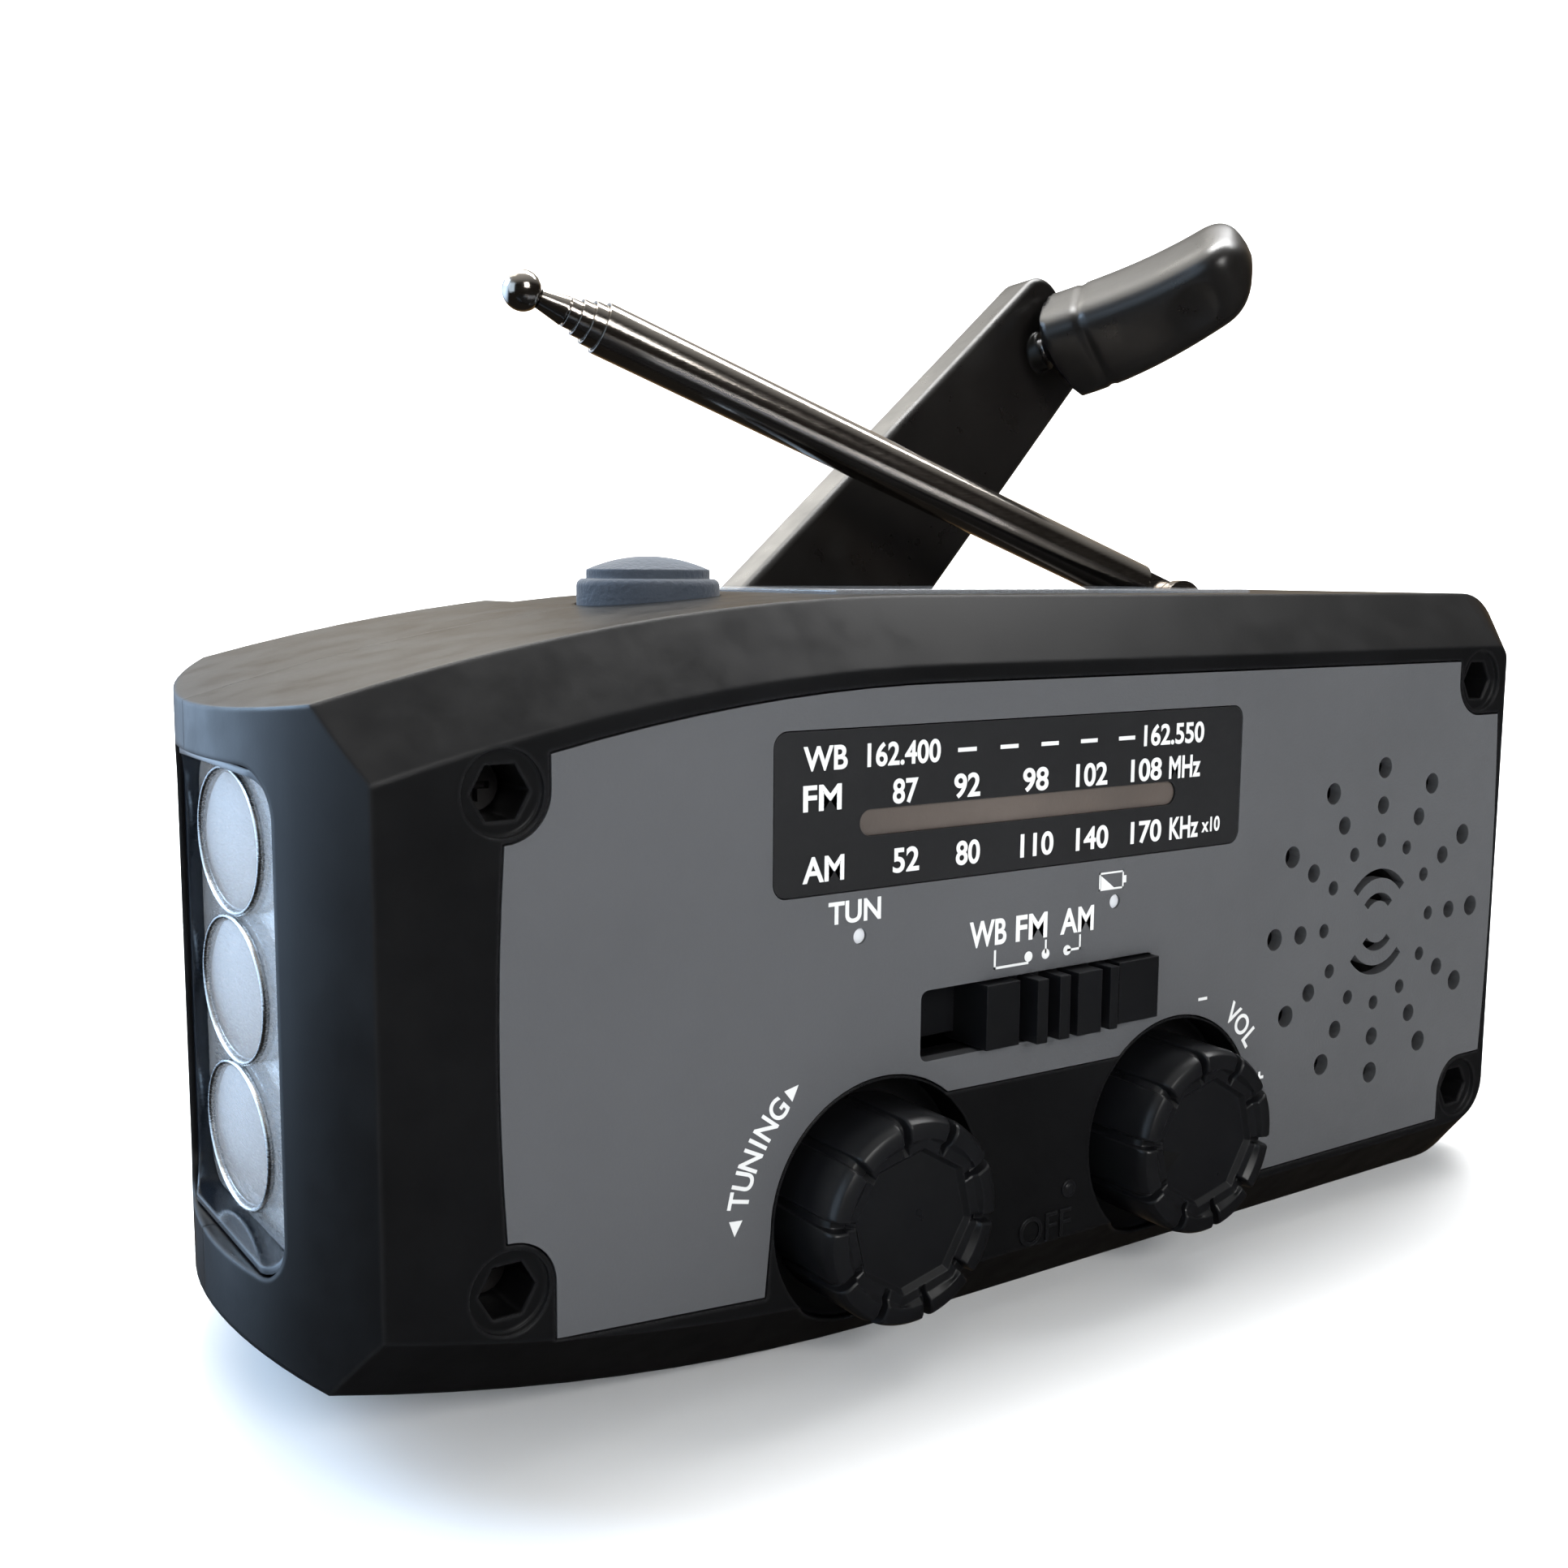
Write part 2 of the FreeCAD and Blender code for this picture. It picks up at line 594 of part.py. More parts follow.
def band_slider():
    right = SLOT_RIGHT - 0.2
    left = right - SLIDER_LENGTH
    low = SLOT_LOW + 0.2
    high = SLOT_HIGH - 0.2
    base = box(left, right, -21.6, -19.3, low, high)
    parts = []
    for start, width in ((0, 3.4), (14.4, 4.6)):
        parts.append(box(left + start, left + start + width, -23.4, -21.6, low, high))
    for start, width in ((4.6, 1.1), (7.0, 1.1), (9.0, 2.6), (12.6, 0.9)):
        parts.append(box(left + start, left + start + width, -24.2, -21.6, low, high))
    skirt = box(left, right, -19.3, -18.3, low, high + 2.4)
    shutter = box(left - 6.0, left, -19.3, -18.3, SLOT_LOW + 0.9, high + 2.4)
    lever = box(-1.5, 1.5, -18.3, -16.8, 24.3, 26.3)
    return base.fuse(parts + [skirt, shutter, lever])


# ---------------------------------------------------------------- boards and speaker
def main_board():
    board = box(-44, 22, -12.6, -11.2, 6.0, 48.5)
    cuts = [rod_y(TUNING_SPOT[0], TUNING_SPOT[1], SHAFT_RADIUS + 0.3, -14, -10)]
    cuts.append(rod_y(VOLUME_SPOT[0], VOLUME_SPOT[1], SHAFT_RADIUS + 0.3, -14, -10))
    for x, z in BOARD_SCREWS:
        cuts.append(rod_y(x, z, 1.0, -14, -10))
    return board.cut(cuts)


def board_screws():
    screws = []
    for x, z in BOARD_SCREWS:
        head = rod_y(x, z, 1.8, -11.2, -10.2)
        screws.append(head.fuse(rod_y(x, z, 1.0, -17.5, -11.2)))
    return Part.makeCompound(screws)


def board_posts():
    """Posts on the front shell that the board is screwed to."""
    posts = []
    for x, z in BOARD_SCREWS:
        post = rod_y(x, z, 2.4, INNER_FRONT_Y - 0.5, -12.6)
        posts.append(post.cut(rod_y(x, z, 1.0, -17.5, -12)))
    return posts


def speaker_frame():
    x, z = SPEAKER_SPOT
    flange = rod_y(x, z, 17.6, INNER_FRONT_Y, -18.3).cut(rod_y(x, z, 14.5, -21, -17))
    basket = Part.makeCone(16.2, 9.0, 6.3, V(x, -18.3, z), Y_AXIS)
    hollow = Part.makeCone(15.4, 8.2, 6.3, V(x, -18.3, z), Y_AXIS)
    return flange.fuse(basket.cut(hollow)).fuse(
        rod_y(x, z, 9.0, -12.0, -11.2).cut(rod_y(x, z, 4.0, -13, -11))
    )


def speaker_cone():
    x, z = SPEAKER_SPOT
    outer = Part.makeCone(14.4, 4.6, 5.0, V(x, -18.6, z), Y_AXIS)
    inner = Part.makeCone(14.0, 4.2, 5.0, V(x, -19.0, z), Y_AXIS)
    dome = Part.makeSphere(5.5, V(x, -10.9, z))
    return outer.cut(inner).fuse(dome.common(rod_y(x, z, 4.4, -17, -13.6)))


def speaker_magnet():
    x, z = SPEAKER_SPOT
    return rod_y(x, z, 8.5, -11.2, -4.5)


# ---------------------------------------------------------------- torch
def torch_cup(number):
    return TORCH_Z + (number - 1) * CUP_PITCH


def torch_bezel():
    """A glossy funnel from the opening in the case down to the lens."""
    outer = torch_opening(-64, -55).common(case_solid(0.05))
    gap = 0.1
    body = rounded_yz(
        TORCH_Y - TORCH_HALF_WIDE + gap, TORCH_Y + TORCH_HALF_WIDE - gap,
        TORCH_Z - TORCH_HALF_HIGH + gap, TORCH_Z + TORCH_HALF_HIGH - gap, 3.4, -64, -55,
    )
    body = body.common(outer)
    inside = rounded_yz(
        TORCH_Y - 7.6, TORCH_Y + 7.6, TORCH_Z - 16.4, TORCH_Z + 16.4, 3.0, -70, -50
    )
    return body.cut(inside)


def torch_lens():
    lens = rounded_yz(
        TORCH_Y - 7.5, TORCH_Y + 7.5, TORCH_Z - 16.3, TORCH_Z + 16.3, 2.9, LENS_X, LENS_X + 1.2
    )
    return lens


def torch_reflector():
    block = rounded_yz(
        TORCH_Y - 7.5, TORCH_Y + 7.5, TORCH_Z - 16.3, TORCH_Z + 16.3, 2.9,
        LENS_X + 1.2, LENS_X + 6.6,
    )
    cups = []
    for number in range(3):
        z = torch_cup(number)
        cups.append(Part.makeCone(CUP_RADIUS, 2.6, 5.4, V(LENS_X + 1.2, TORCH_Y, z), X_AXIS))
        cups.append(rod_x(TORCH_Y, z, 2.6, LENS_X, LENS_X + 8))
    return block.cut(cups)


def torch_leds():
    lamps = []
    for number in range(3):
        z = torch_cup(number)
        body = rod_x(TORCH_Y, z, 2.4, LENS_X + 4.2, LENS_X + 7.4)
        dome = Part.makeSphere(2.4, V(LENS_X + 4.2, TORCH_Y, z))
        lamps.append(body.fuse(dome))
    return Part.makeCompound(lamps)


def torch_board():
    return box(LENS_X + 7.4, LENS_X + 8.8, TORCH_Y - 7, TORCH_Y + 7, TORCH_Z - 12, TORCH_Z + 12)


# ---------------------------------------------------------------- top fittings
def button_top_z():
    """Height of the curved top under the button."""
    reach = BUTTON_X - STRAIGHT_FROM
    return CASE_HEIGHT - END_CURVE_RADIUS + math.sqrt(END_CURVE_RADIUS ** 2 - reach ** 2)


def light_button():
    top = button_top_z()
    skirt = rod_z(BUTTON_X, 0, BUTTON_RADIUS, top - 4.0, top + 1.6)
    skirt = round_edges(skirt, 0.6, lambda e: e.BoundBox.ZMin > top + 1.5)
    dome = Part.makeSphere(12.0, V(BUTTON_X, 0, top + 3.4 - 12.0))
    dome = dome.common(rod_z(BUTTON_X, 0, BUTTON_RADIUS - 0.8, top, top + 6))
    return skirt.fuse(dome)


def light_switch():
    top = button_top_z()
    body = box(BUTTON_X - 3, BUTTON_X + 3, -3, 3, top - 9.0, top - 6.0)
    plunger = rod_z(BUTTON_X, 0, 1.2, top - 6.0, top - 5.2)
    board = box(BUTTON_X - 6, BUTTON_X + 6, -6, 6, top - 10.2, top - 9.0)
    return body.fuse([plunger, board])


def solar_window():
    gap = 0.1
    plate = box(
        SOLAR_LEFT + gap, SOLAR_RIGHT - gap, SOLAR_FRONT + gap, SOLAR_BACK - gap,
        CASE_HEIGHT - 1, CASE_HEIGHT + 0.4,
    )
    return round_edges(plate, 0.3, lambda e: e.BoundBox.ZMin > CASE_HEIGHT + 0.3)


def solar_cell():
    return box(
        SOLAR_LEFT + 1.7, SOLAR_RIGHT - 1.7, SOLAR_FRONT + 1.7, SOLAR_BACK - 1.7,
        CASE_HEIGHT - 2.2, CASE_HEIGHT - 1.0,
    )


# ---------------------------------------------------------------- power
def battery_cell():
    cells = []
    for y, z in ((-4.6, 10.8), (6.0, 10.8), (0.7, 20.0)):
        cell = rod_x(y, z, 5.2, -42, -12).fuse(rod_x(y, z, 1.6, -12, -11.2))
        cells.append(cell)
    return Part.makeCompound(cells)


def battery_bracket():
    plate = box(-44, -10, 13.0, 14.4, 7.0, 26)
    lips = [box(-44, -42.4, -9, 13.0, 7.0, 22), box(-11.0, -9.8, -9, 13.0, 7.0, 22)]
    foot = box(-30, -24, 14.4, INNER_BACK_Y, 10, 20)
    return plate.fuse(lips + [foot])


def ferrite_rod():
    return rod_x(FERRITE_Y, FERRITE_Z, FERRITE_RADIUS, -42, -10)


def ferrite_coil():
    coil = rod_x(FERRITE_Y, FERRITE_Z, 4.6, -30, -18)
    return coil.cut(rod_x(FERRITE_Y, FERRITE_Z, FERRITE_RADIUS, -31, -17))


def usb_port():
    mouth = RIGHT_END - FLAP_THICK - 0.2
    outer = box(50, mouth, PORT_Y - 6.5, PORT_Y + 6.5, USB_Z - 2.9, USB_Z + 2.9)
    inner = box(51, RIGHT_END, PORT_Y - 6.1, PORT_Y + 6.1, USB_Z - 2.5, USB_Z + 2.5)
    tongue = box(50.5, RIGHT_END - 4, PORT_Y - 5.4, PORT_Y + 5.4, USB_Z - 0.1, USB_Z + 1.7)
    return outer.cut(inner).fuse(tongue)


def charge_port():
    mouth = RIGHT_END - FLAP_THICK - 0.2
    outer = box(55, mouth, PORT_Y - 4.5, PORT_Y + 4.5, CHARGE_Z - 1.6, CHARGE_Z + 1.6)
    inner = box(56, RIGHT_END, PORT_Y - 4.2, PORT_Y + 4.2, CHARGE_Z - 1.3, CHARGE_Z + 1.3)
    tongue = box(55.5, RIGHT_END - 3, PORT_Y - 3.3, PORT_Y + 3.3, CHARGE_Z - 0.35, CHARGE_Z + 0.35)
    return outer.cut(inner).fuse(tongue)


def port_board():
    return box(48, 61.5, PORT_Y - 6.5, PORT_Y + 6.5, CHARGE_Z + 2.0, CHARGE_Z + 3.4)


def port_cover():
    y0, y1, z0, z1 = FLAP
    plate = box(RIGHT_END - FLAP_THICK, RIGHT_END, y0, y1, z0, z1)
    lip = box(RIGHT_END, RIGHT_END + 0.6, y0 + 0.6, y0 + 1.8, MID_Z - 8, MID_Z + 2)
    knuckle = rod_z(FLAP_HINGE_X, y1, FLAP_THICK / 2, z0, z1)
    stubs = rod_z(FLAP_HINGE_X, y1, FLAP_STUB, z0 - FLAP_STUB_LENGTH, z1 + FLAP_STUB_LENGTH)
    return plate.fuse([lip, knuckle, stubs])


# ---------------------------------------------------------------- gears and generator
def involute_gear(teeth, thick):
    """A spur gear on the Y axis with a tooth centred on +X; a little thin for backlash."""
    pitch = GEAR_MODULE * teeth / 2
    base = pitch * math.cos(math.radians(20))
    tip = pitch + 0.85 * GEAR_MODULE
    root = pitch - 1.15 * GEAR_MODULE
    lean = math.tan(math.radians(20)) - math.radians(20)
    half = math.pi / (2 * teeth) - 0.045 / pitch * GEAR_MODULE / 0.6 + lean
    points = []
    steps = 5
    for tooth in range(teeth):
        centre = 2 * math.pi * tooth / teeth
        flank = []
        for step in range(steps):
            radius = max(base, root) + (tip - max(base, root)) * step / (steps - 1)
            pressure = math.acos(min(1.0, base / radius))
            flank.append((radius, half - (math.tan(pressure) - pressure)))
        flank = [(root, flank[0][1])] + flank
        rising = [(radius, centre - angle) for radius, angle in flank]
        falling = [(radius, centre + angle) for radius, angle in reversed(flank)]
        for radius, angle in rising + falling:
            points.append(V(radius * math.cos(angle), 0, radius * math.sin(angle)))
    points.append(points[0])
    return Part.Face(Part.makePolygon(points)).extrude(V(0, thick, 0))


def placed_gear(teeth, x, z, y, turn):
    """A gear whose first tooth points turn degrees up from +X."""
    gear = involute_gear(teeth, GEAR_THICK)
    gear.rotate(V(0, 0, 0), Y_AXIS, -turn)
    gear.translate(V(x, y, z))
    return gear


IDLER_GAP = GEAR_MODULE * (CRANK_TEETH + IDLER_SMALL) / 2
IDLER = polar_xz(V(CRANK_X, 0, CRANK_Z), IDLER_GAP, IDLER_DIRECTION)
ROTOR_GAP = GEAR_MODULE * (IDLER_LARGE + ROTOR_TEETH) / 2
ROTOR = polar_xz(IDLER, ROTOR_GAP, ROTOR_DIRECTION)


def crank_gear():
    gear = placed_gear(CRANK_TEETH, CRANK_X, CRANK_Z, GEAR_ONE_Y, IDLER_DIRECTION)
    return gear.cut(rod_y(CRANK_X, CRANK_Z, CRANK_SHAFT, 0, 20))


def idler_gear():
    """The large and small gears are one moulding on a fixed axle."""
    half_tooth = 180 / IDLER_SMALL
    small = placed_gear(IDLER_SMALL, IDLER.x, IDLER.z, GEAR_ONE_Y, IDLER_DIRECTION + 180 + half_tooth)
    large = placed_gear(IDLER_LARGE, IDLER.x, IDLER.z, GEAR_TWO_Y, ROTOR_DIRECTION)
    collar = rod_y(IDLER.x, IDLER.z, 2.4, GEAR_TWO_Y + GEAR_THICK, GEAR_ONE_Y)
    moulding = small.fuse([large, collar])
    return moulding.cut(rod_y(IDLER.x, IDLER.z, 1.05, 0, 20))


def idler_axle():
    return rod_y(IDLER.x, IDLER.z, 1.0, 2.4, 15.2)


def generator_rotor():
    half_tooth = 180 / ROTOR_TEETH
    pinion = placed_gear(ROTOR_TEETH, ROTOR.x, ROTOR.z, GEAR_TWO_Y, ROTOR_DIRECTION + 180 + half_tooth)
    shaft = rod_y(ROTOR.x, ROTOR.z, 1.0, -7.6, GEAR_TWO_Y + GEAR_THICK + 1)
    drum = rod_y(ROTOR.x, ROTOR.z, 8.0, -6.4, -0.6)
    return pinion.fuse([shaft, drum])


def generator_housing():
    can = rod_y(ROTOR.x, ROTOR.z, 10.6, -8.6, 0.8)
    space = rod_y(ROTOR.x, ROTOR.z, 8.9, -7.0, -0.2)
    bore = rod_y(ROTOR.x, ROTOR.z, 1.05, -8.0, 2)
    return can.cut([space, bore])


def gearbox_plate():
    """The plate that carries the generator and the idler's axle, on a post at each end."""
    plate = box(-6, 22, 0.8, 2.4, 13.5, 54)
    plate = plate.cut(rod_y(ROTOR.x, ROTOR.z, 2.0, 0, 3))
    axle_hole = rod_y(IDLER.x, IDLER.z, 1.0, 2, 16)
    posts = []
    for x, z in ((-4, 33), (20, 33), (-4, 15.5), (20, 15.5)):
        posts.append(rod_y(x, z, 1.8, 2.4, INNER_BACK_Y))
    bridge = box(IDLER.x - 3, 20, 13.6, 15.2, IDLER.z - 5.0, IDLER.z + 1.8)
    return plate.fuse(posts + [bridge]).removeSplitter().cut(axle_hole)


# ---------------------------------------------------------------- crank
TURN = math.radians(CRANK_ANGLE)
TILT = math.radians(ARM_TILT)
LEAN = math.radians(GRIP_LEAN)
OUTWARD = V(math.cos(TURN), 0, math.sin(TURN))
SIDEWAYS = V(-math.sin(TURN), 0, math.cos(TURN))
HINGE = V(CRANK_X, HINGE_Y, CRANK_Z)
ALONG_ARM = OUTWARD * math.cos(TILT) + Y_AXIS * math.sin(TILT)
ARM_NORMAL = ALONG_ARM.cross(SIDEWAYS)      # points to the front face of the arm
GRIP_AXIS = OUTWARD * math.sin(LEAN) - Y_AXIS * math.cos(LEAN)
GRIP_FOOT = HINGE + ALONG_ARM * GRIP_AT + ARM_NORMAL * (ARM_THICK / 2)


def crank_bush():
    sleeve = rod_y(CRANK_X, CRANK_Z, BUSH_RADIUS, 12.4, HALF_DEPTH)
    return sleeve.cut(rod_y(CRANK_X, CRANK_Z, CRANK_SHAFT + 0.06, 10, 24))


def crank_hub():
    disc = rod_y(CRANK_X, CRANK_Z, HUB_RADIUS, HUB_FRONT_Y, HUB_BACK_Y)
    disc = round_edges(disc, 0.8, lambda e: e.BoundBox.YMin > HUB_BACK_Y - 0.1)
    shaft = rod_y(CRANK_X, CRANK_Z, CRANK_SHAFT, 6.6, HUB_FRONT_Y)
    ears = []
    for side in (-1, 1):
        low = 5.4 if side > 0 else -8.4
        eye = Part.makeCylinder(3.2, 3.0, V(0, low, 0), Y_AXIS)
        leg = Part.makeBox(6.4, 3.0, HINGE_Y - HUB_BACK_Y + 1, V(-3.2, low, 0))
        hole = Part.makeCylinder(1.4, 5.0, V(0, low - 1, 0), Y_AXIS)
        ear = eye.fuse(leg).cut(hole)
        ears.append(in_frame(ear, HINGE, OUTWARD, SIDEWAYS))
    return disc.fuse([shaft] + ears)


def crank_hinge_pin():
    pin = Part.makeCylinder(1.4, 18.0, V(0, -9.0, 0), Y_AXIS)
    return in_frame(pin, HINGE, ALONG_ARM, SIDEWAYS)


def arm_profile(root, tip):
    """The arm's outline, narrower at the grip end, with its far corners rounded."""
    start = ARM_START
    corner = ARM_CORNER
    end = ARM_LENGTH
    lower = [V(start, -root, 0), V(end - corner, -tip, 0)]
    upper = [V(end - corner, tip, 0), V(start, root, 0)]
    cut = corner * (1 - math.sqrt(0.5))
    mid_low = V(end - cut, -tip + cut, 0)
    mid_high = V(mid_low.x, -mid_low.y, 0)
    edges = [
        Part.LineSegment(lower[0], lower[1]).toShape(),
        Part.Arc(lower[1], mid_low, V(end, -tip + corner, 0)).toShape(),
        Part.LineSegment(V(end, -tip + corner, 0), V(end, tip - corner, 0)).toShape(),
        Part.Arc(V(end, tip - corner, 0), mid_high, upper[0]).toShape(),
        Part.LineSegment(upper[0], upper[1]).toShape(),
        Part.LineSegment(upper[1], lower[0]).toShape(),
    ]
    return Part.Wire(edges)


def crank_arm():
    face = Part.Face(arm_profile(ARM_HALF_ROOT, ARM_HALF_TIP))
    face.translate(V(0, 0, -ARM_THICK / 2))
    bar = face.extrude(V(0, 0, ARM_THICK))
    bar = round_edges(bar, 0.8, lambda e: e.BoundBox.ZLength < 0.01)
    eye = Part.makeCylinder(2.5, 10.2, V(0, -5.1, 0), Y_AXIS)
    tongue = Part.makeBox(9.0, 10.2, ARM_THICK - 0.2, V(0, -5.1, -ARM_THICK / 2 + 0.1))
    bore = Part.makeCylinder(1.46, 14.0, V(0, -7, 0), Y_AXIS)
    arm = in_frame(bar.fuse([eye, tongue]).cut(bore), HINGE, ALONG_ARM, SIDEWAYS)
    boss_end = GRIP_FOOT + GRIP_AXIS * (GRIP_START - 0.3)
    boss = between(GRIP_FOOT - GRIP_AXIS * 1.0, boss_end, 2.4)
    hole = between(GRIP_FOOT - GRIP_AXIS * 12.0, GRIP_FOOT + GRIP_AXIS * 5.0, GRIP_PIN)
    return arm.fuse(boss).cut(hole)


def grip_pin():
    """The fixed pin that the grip turns on, through the arm and well into the grip."""
    back = GRIP_FOOT - GRIP_AXIS * (ARM_THICK / math.cos(LEAN - TILT) - 0.7)
    return between(back, GRIP_FOOT + GRIP_AXIS * GRIP_PIN_END, GRIP_PIN)


def crank_grip():
    """A rounded handle with a conical root, bored for its pin."""
    corner = V(GRIP_START, -GRIP_WIDE / 2, -GRIP_DEEP / 2 - GRIP_OFFSET)
    body = Part.makeBox(GRIP_END - GRIP_START, GRIP_WIDE, GRIP_DEEP, corner)
    body = round_edges(body, 3.0, lambda e: e.BoundBox.XLength > 5)
    body = round_edges(body, 1.8, lambda e: e.BoundBox.XLength < 0.01 and e.BoundBox.XMin > 5)
    cone_length = GRIP_CONE_END - GRIP_START
    root = Part.makeCone(
        GRIP_ROOT_RADIUS, GRIP_CONE_RADIUS, cone_length, V(GRIP_START, 0, 0), X_AXIS
    )
    rest = Part.makeCylinder(
        GRIP_CONE_RADIUS, GRIP_END - GRIP_CONE_END + 1, V(GRIP_CONE_END, 0, 0), X_AXIS
    )
    body = body.common(root.fuse(rest))
    bore = Part.makeCylinder(GRIP_PIN + 0.08, GRIP_PIN_END + 0.4, V(0, 0, 0), X_AXIS)
    return in_frame(body.cut(bore), GRIP_FOOT, GRIP_AXIS, SIDEWAYS)


# ---------------------------------------------------------------- antenna
SWING = math.radians(ANTENNA_LEAN)
RISE = math.radians(ANTENNA_RISE)
LEVEL = V(-math.cos(SWING), math.sin(SWING), 0)
ANTENNA_HINGE = Z_AXIS.cross(LEVEL)
ALONG_ANTENNA = LEVEL * math.cos(RISE) + Z_AXIS * math.sin(RISE)


def antenna_bracket():
    plate = box(PIVOT.x - 5, PIVOT.x + 5, PIVOT.y - 5, PIVOT.y + 3.5, 48.0, 49.2)
    return plate.cut(rod_z(PIVOT.x, PIVOT.y, 1.26, 47, 50))


def antenna_swivel():
    """A turntable with a post below it and two ears above."""
    post = rod_z(PIVOT.x, PIVOT.y, 1.2, 45.5, 49.6)
    table = rod_z(PIVOT.x, PIVOT.y, 3.4, 49.5, 52.6)
    ears = []
    for low in (1.3, -2.7):
        eye = Part.makeCylinder(2.6, 1.4, V(0, low, 0), Y_AXIS)
        leg = Part.makeBox(5.2, 1.4, PIVOT.z - 51.6, V(-2.6, low, -(PIVOT.z - 51.6)))
        hole = Part.makeCylinder(0.9, 4.0, V(0, low - 1, 0), Y_AXIS)
        ears.append(in_frame(eye.fuse(leg).cut(hole), PIVOT, LEVEL, ANTENNA_HINGE))
    return post.fuse([table] + ears)


def antenna_pivot_pin():
    pin = Part.makeCylinder(0.9, 6.4, V(0, -3.2, 0), Y_AXIS)
    return in_frame(pin, PIVOT, LEVEL, ANTENNA_HINGE)


def along(start, end, radius):
    """A cylinder along the antenna between two distances from its hinge."""
    return between(PIVOT + ALONG_ANTENNA * start, PIVOT + ALONG_ANTENNA * end, radius)


def antenna_tube(number):
    """One telescopic tube, open at its outer end."""
    radius = TUBE_RADII[number]
    start = TUBE_STARTS[number]
    end = TUBE_ENDS[number]
    tube = along(start, end, radius)
    floor = 3.0 if number == 0 else -1.0
    tube = tube.cut(along(start + floor, end + 1, radius - TUBE_WALL))
    if number:
        return tube
    eye = Part.makeCylinder(2.2, 2.4, V(0, -1.2, 0), Y_AXIS)
    strap = Part.makeBox(6.0, 2.4, 4.0, V(0, -1.2, -2.0))
    bore = Part.makeCylinder(0.96, 6.0, V(0, -3, 0), Y_AXIS)
    knuckle = in_frame(eye.fuse(strap).cut(bore), PIVOT, ALONG_ANTENNA, ANTENNA_HINGE)
    return tube.fuse(knuckle)


def antenna_tip():
    """The innermost rod with its flared neck and ball."""
    rod = along(ROD_START, TUBE_ENDS[3] + 0.2, ROD_RADIUS)
    foot = PIVOT + ALONG_ANTENNA * (TUBE_ENDS[3] + 0.2)
    flare = Part.makeCone(1.5, 0.9, 3.2, foot, ALONG_ANTENNA)
    ball = Part.makeSphere(BALL_RADIUS, PIVOT + ALONG_ANTENNA * BALL_AT)
    return rod.fuse([flare, ball])


# ---------------------------------------------------------------- fasteners
def case_screws():
    screws = []
    for x, z in SCREW_SPOTS:
        head = rod_y(x, z, 1.7, FRONT_Y + 4.6, FRONT_Y + 6.0)
        drive = box(x - 1.1, x + 1.1, FRONT_Y + 4, FRONT_Y + 5.4, z - 0.25, z + 0.25)
        cross = box(x - 0.25, x + 0.25, FRONT_Y + 4, FRONT_Y + 5.4, z - 1.1, z + 1.1)
        head = head.cut([drive, cross])
        screws.append(head.fuse(rod_y(x, z, 1.1, FRONT_Y + 6.0, 8.0)))
    return Part.makeCompound(screws)


def indicator_lights():
    lights = []
    for x, z in (TUN_LIGHT, BATTERY_LIGHT):
        lights.append(rod_y(x, z, LIGHT_RADIUS, FRONT_Y + 0.25, -12.6))
    return Part.makeCompound(lights)


# ---------------------------------------------------------------- write every sub-part
save("front_shell", front_shell().fuse(board_posts()))
save("rear_shell", rear_shell())
save("front_panel", front_panel())
save("dial_window", dial_window())
save("dial_lens", dial_lens())
save("dial_pointer", dial_pointer())
save("dial_back", dial_back())
save("speaker_frame", speaker_frame())
save("speaker_cone", speaker_cone())
save("speaker_magnet", speaker_magnet())
save("main_board", main_board())
save("board_screws", board_screws())
save("tuning_capacitor", square_body(TUNING_SPOT, 7.5, -16.6, -12.6, SHAFT_RADIUS + 0.06))
save("volume_potentiometer", square_body(VOLUME_SPOT, 7.0, -16.6, -12.6, SHAFT_RADIUS + 0.06))
save("band_switch", box(-6, 6, -16.6, -12.6, 22.5, 28.0))
save("indicator_lights", indicator_lights())
save("battery_pack", battery_cell())
save("battery_bracket", battery_bracket())
save("ferrite_rod", ferrite_rod())
save("ferrite_coil", ferrite_coil())
save("torch_bezel", torch_bezel())
save("torch_lens", torch_lens())
save("torch_reflector", torch_reflector())
save("torch_leds", torch_leds())
save("torch_board", torch_board())
save("solar_window", solar_window())
save("solar_cell", solar_cell())
save("light_switch", light_switch())
save("light_button", light_button())
save("usb_port", usb_port())
save("charge_port", charge_port())
save("port_board", port_board())
save("port_cover", port_cover())
save("tuning_knob", knob(TUNING_SPOT, False))
save("tuning_shaft", knob_shaft(TUNING_SPOT, -11.0))
save("volume_knob", knob(VOLUME_SPOT, True))
save("volume_shaft", knob_shaft(VOLUME_SPOT, -11.0))
save("band_slider", band_slider())
save("crank_bush", crank_bush())
save("crank_hub", crank_hub())
save("crank_gear", crank_gear())
save("crank_hinge_pin", crank_hinge_pin())
save("crank_arm", crank_arm())
save("grip_pin", grip_pin())
save("crank_grip", crank_grip())
save("idler_gear", idler_gear())
save("idler_axle", idler_axle())
save("generator_rotor", generator_rotor())
save("generator_housing", generator_housing())
save("gearbox_plate", gearbox_plate())
save("antenna_bracket", antenna_bracket())
save("antenna_swivel", antenna_swivel())
save("antenna_pivot_pin", antenna_pivot_pin())
for tube_number in range(len(TUBE_RADII)):
    save("antenna_tube_" + str(tube_number + 1), antenna_tube(tube_number))
save("antenna_tip", antenna_tip())
save("case_screws", case_screws())
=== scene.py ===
"""Looks for the hand-crank emergency radio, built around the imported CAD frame."""
import json
import math

import bmesh
import bpy
from mathutils import Matrix, Vector
from mathutils.bvhtree import BVHTree


